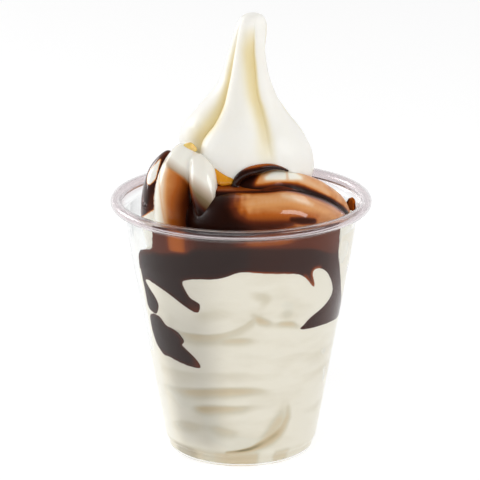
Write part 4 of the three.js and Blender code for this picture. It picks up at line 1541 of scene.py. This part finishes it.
def build_peak():
    serve = settings().serve
    azimuth = np.linspace(-180, 180, serve.peak_steps, endpoint=False)
    line = np.array(PEAK_LINE, float)
    keys, reach = line[:, 0], line[:, 3]
    length_along = np.concatenate([[0], np.cumsum(np.hypot(np.diff(keys), np.diff(reach)))])
    heights = np.interp(np.linspace(0, length_along[-1] * PEAK_SHARE, PEAK_RINGS), length_along, keys)
    z = np.broadcast_to(heights[:, None], (len(heights), len(azimuth))).copy()
    az = np.broadcast_to(azimuth[None, :], z.shape)
    x, y, radius, deep = peak_radius(az, z)
    a = np.radians(az)
    px, py = np.sin(a) * radius, -np.cos(a) * radius
    slack = bumps(waves(serve.seed + 91, 9, 9, 26), px + x, py + y, z * 0.7)
    fine = bumps(waves(serve.seed + 92, 12, 1.2, 3.2), px + x, py + y, z * 0.16)
    lift = (0.22 * slack + 0.012 * fine) * ease(0, 6, radius)
    grid = np.stack([px + x + np.sin(a) * lift, py + y - np.cos(a) * lift, z], axis=-1)
    tip = [x[-1, 0], y[-1, 0], serve.peak_height * MM]
    verts, faces = capped_skin(grid, [x[0, 0], y[0, 0], z[0, 0]], tip)
    piece = new_piece("fluted_peak", verts, faces, finish("soft_serve"))
    # Painted shade of the valleys, a little mottled.
    painted_shade = np.clip(deep.ravel() + 0.02 * slack.ravel(), 0, 1)
    set_values(piece, hollow=np.concatenate([painted_shade, [0, 0]]))
    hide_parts("peak")


BEADS = [
    [(-19.9, -11.4, 20.3, 1.2), (-17.9, -11.8, 20.7, 1.6), (-16, -12.2, 19.8, 1.3)],
    [(-8.8, -17.4, 13.9, 1.1), (-7, -18.8, 11, 2.2), (-3.4, -19.6, 10.4, 1.4)],
]
BEAD_DEPTHS = (0.15, 0.75)  # how deep in colour each bead is


def build_beads():
    """The yellow beads of glaze between the curl and the peak."""
    for number, (stations, deep) in enumerate(zip(BEADS, BEAD_DEPTHS), 1):
        distance = uneven(roll(above_rim(stations), 16), waves(60 + number, 6, 3, 8), 0.2)
        paint = lambda verts, slope, deep=deep: {"sauce": np.full(len(verts), deep)}
        shaped_piece(f"glaze_bead_{number}", distance, box_of(stations), "amber_glaze", paint)


# ---- the stage -------------------------------------------------------------------------------------
WORLD_BY_HEIGHT = [(-1, 1), (0, 1), (0.35, 0.8), (0.7, 0.5), (1, 0.35)]
WORLD_BY_DEPTH = [(-1, 0.16), (-0.6, 0.14), (-0.3, 0.2), (0, 0.45), (0.35, 0.85), (0.7, 1), (1, 1)]
SOFTBOXES = [
    ("left_softbox", -114, 16, 38, 22, 5.4, 0, True),
    ("front_right_softbox", 62, 31, 42, 12, 5.5, -50, True),
    ("back_right_softbox", 128, 45, 30, 22, 1.6, 0, True),
    ("front_fill", -14, 46, 44, 36, 3.1, 0, False),
]


def towards(azimuth, elevation):
    """The direction of an azimuth from the front and an elevation, in degrees."""
    a, e = math.radians(azimuth), math.radians(elevation)
    return Vector((math.sin(a) * math.cos(e), -math.cos(a) * math.cos(e), math.sin(e)))


def area_light(name, azimuth, elevation, wide, tall, radiance, tilt=0.0, glossy=True):
    """A softbox that looks at the middle of the sundae; it spans wide by tall degrees as seen from there."""
    reach = settings().light.distance
    data = bpy.data.lights.new(name, "AREA")
    data.shape = "RECTANGLE"
    data.size, data.size_y = (2 * reach * math.tan(math.radians(span / 2)) for span in (wide, tall))
    data.energy = radiance * math.pi * data.size * data.size_y
    light = bpy.data.objects.new(name, data)
    bpy.context.scene.collection.objects.link(light)
    way = towards(azimuth, elevation)
    light.location = Vector((0, 0, CUP_HIGH.z)) + way * reach
    light.rotation_mode = "QUATERNION"
    light.rotation_quaternion = (-way).to_track_quat("-Z", "Y") @ Quaternion((0, 0, 1), math.radians(tilt))
    light.visible_camera = False
    light.visible_glossy = glossy


def build_world():
    """Soft studio light: bright at the back and sides, dimmer overhead and in front."""
    world = bpy.data.worlds.new("studio")
    world.use_nodes = True
    bpy.context.scene.world = world
    tree = world.node_tree
    tree.nodes.clear()
    way = add_node(tree, "ShaderNodeTexCoord").outputs["Generated"]
    split = add_node(tree, "ShaderNodeSeparateXYZ", {"Vector": way}).outputs
    levels = []
    for axis, stops in (("Z", WORLD_BY_HEIGHT), ("Y", WORLD_BY_DEPTH)):
        shift = add_node(tree, "ShaderNodeMapRange", {"From Min": -1, "Value": split[axis]})
        ramp = add_node(tree, "ShaderNodeValToRGB", {"Fac": shift.outputs["Result"]})
        fill_ramp(ramp.color_ramp, [((at + 1) / 2, (level, level, level, 1)) for at, level in stops])
        levels.append(ramp.outputs["Color"])
    product = add_node(tree, "ShaderNodeVectorMath", enumerate(levels), operation="MULTIPLY").outputs["Vector"]
    back = add_node(tree, "ShaderNodeBackground", {"Color": product}).outputs["Background"]
    add_node(tree, "ShaderNodeOutputWorld", {"Surface": back})


AIM_HEIGHT = 0.0463  # on the axis, before the shift of the view
VIEW_STEP = 0.3554  # mm that the shifts of the view count in
VIEW_UP, VIEW_RIGHT = 80, 240 - 241.1


def build_camera():
    """The camera, in front of the sundae and a little above it."""
    light = settings().light
    data = bpy.data.cameras.new("camera")
    data.lens = light.lens
    data.clip_start, data.clip_end = 0.05, 60
    camera = bpy.data.objects.new("camera", data)
    bpy.context.scene.collection.objects.link(camera)
    bpy.context.scene.camera = camera
    elevation = light.elevation
    up = Vector((0, math.sin(elevation), math.cos(elevation)))
    aim = Vector((0, 0, AIM_HEIGHT)) + up * (VIEW_UP * VIEW_STEP / MM) + Vector((VIEW_RIGHT * VIEW_STEP / MM, 0, 0))
    away = Vector((0, -math.cos(elevation), math.sin(elevation)))
    camera.location = aim + away * light.distance
    camera.rotation_mode = "QUATERNION"
    camera.rotation_quaternion = (-away).to_track_quat("-Z", "Y")


def build_stage():
    """The floor, the light and the camera."""
    scene = bpy.context.scene
    scene.view_settings.view_transform = "Standard"
    scene.view_settings.look = "None"
    floor_mesh = bpy.data.meshes.new("studio_floor")
    half = settings().light.floor_size / 2
    corners = [(-half, -half, 0), (half, -half, 0), (half, half, 0), (-half, half, 0)]
    floor_mesh.from_pydata(corners, [], [(0, 1, 2, 3)])
    floor = bpy.data.objects.new("studio_floor", floor_mesh)
    scene.collection.objects.link(floor)
    paper = Finish("studio_paper").set(
        Base_Color=(0.4, 0.4, 0.4, 1), Roughness=0.9, Specular_IOR_Level=0.1,
        Emission_Color=(1, 1, 1, 1), Emission_Strength=0.69,
    )
    floor_mesh.materials.append(paper.material)
    build_world()
    for softbox in SOFTBOXES:
        area_light(*softbox)
    build_camera()


# ---- operators, panel and registration -------------------------------------------------------------
class SUNDAE_OT_stage(bpy.types.Operator):
    """Makes the floor, the soft studio light and the camera"""

    bl_idname = "sundae.stage"
    bl_label = "Stage"

    def execute(self, context):
        build_stage()
        return {"FINISHED"}


class SUNDAE_OT_cup(bpy.types.Operator):
    """Turns the clear plastic cup with its rolled edge"""

    bl_idname = "sundae.cup"
    bl_label = "Cup"

    def execute(self, context):
        build_cup()
        return {"FINISHED"}


class SUNDAE_OT_filling(bpy.types.Operator):
    """Fills the cup with soft serve that presses against the wall"""

    bl_idname = "sundae.filling"
    bl_label = "Soft serve in the cup"

    def execute(self, context):
        build_cup_serve()
        return {"FINISHED"}


class SUNDAE_OT_sauce(bpy.types.Operator):
    """Lays the fudge sauce on the wall and between the rolls"""

    bl_idname = "sundae.sauce"
    bl_label = "Fudge sauce"

    def execute(self, context):
        build_wall_sauce()
        build_sauce_pool()
        return {"FINISHED"}


class SUNDAE_OT_rolls(bpy.types.Operator):
    """Piles up the front, back and rear rolls of soft serve"""

    bl_idname = "sundae.rolls"
    bl_label = "Rolls"

    def execute(self, context):
        build_front_roll()
        build_back_roll()
        build_rear_roll()
        return {"FINISHED"}


class SUNDAE_OT_curl(bpy.types.Operator):
    """Shapes the upright curl at the left, with its inner fold"""

    bl_idname = "sundae.curl"
    bl_label = "Left curl"

    def execute(self, context):
        build_left_curl()
        return {"FINISHED"}


class SUNDAE_OT_peak(bpy.types.Operator):
    """Draws up the fluted peak"""

    bl_idname = "sundae.peak"
    bl_label = "Peak"

    def execute(self, context):
        build_peak()
        return {"FINISHED"}


class SUNDAE_OT_beads(bpy.types.Operator):
    """Adds the small beads of clear glaze"""

    bl_idname = "sundae.beads"
    bl_label = "Glaze beads"

    def execute(self, context):
        build_beads()
        return {"FINISHED"}


STEPS = (
    SUNDAE_OT_stage, SUNDAE_OT_cup, SUNDAE_OT_filling, SUNDAE_OT_sauce, SUNDAE_OT_rolls, SUNDAE_OT_curl,
    SUNDAE_OT_peak, SUNDAE_OT_beads,
)


class SUNDAE_PT_steps(bpy.types.Panel):
    """Sizes, colours and the steps that build the sundae"""

    bl_label = "Sundae"
    bl_idname = "SUNDAE_PT_steps"
    bl_space_type = "VIEW_3D"
    bl_region_type = "UI"
    bl_category = "Sundae"

    def draw(self, context):
        layout = self.layout
        sundae = context.scene.sundae
        groups = {
            "Cup": sundae.cup, "Soft serve": sundae.serve, "Colours": sundae.colours, "Stage": sundae.light,
        }
        for title, group in groups.items():
            box = layout.box()
            box.label(text=title)
            for name in group.__annotations__:
                box.prop(group, name)
        column = layout.column(align=True)
        for step in STEPS:
            column.operator(step.bl_idname)


CLASSES = (
    SundaeCupSizes, SundaeServeSizes, SundaeColours, SundaeLightSizes, SundaeSettings, *STEPS, SUNDAE_PT_steps,
)


def register():
    for item in CLASSES:
        bpy.utils.register_class(item)
    bpy.types.Scene.sundae = PointerProperty(type=SundaeSettings)


def unregister():
    del bpy.types.Scene.sundae
    for item in reversed(CLASSES):
        bpy.utils.unregister_class(item)


def main():
    register()
    for step in STEPS:
        group, name = step.bl_idname.split(".")
        getattr(getattr(bpy.ops, group), name)()


if __name__ == "__main__":
    main()
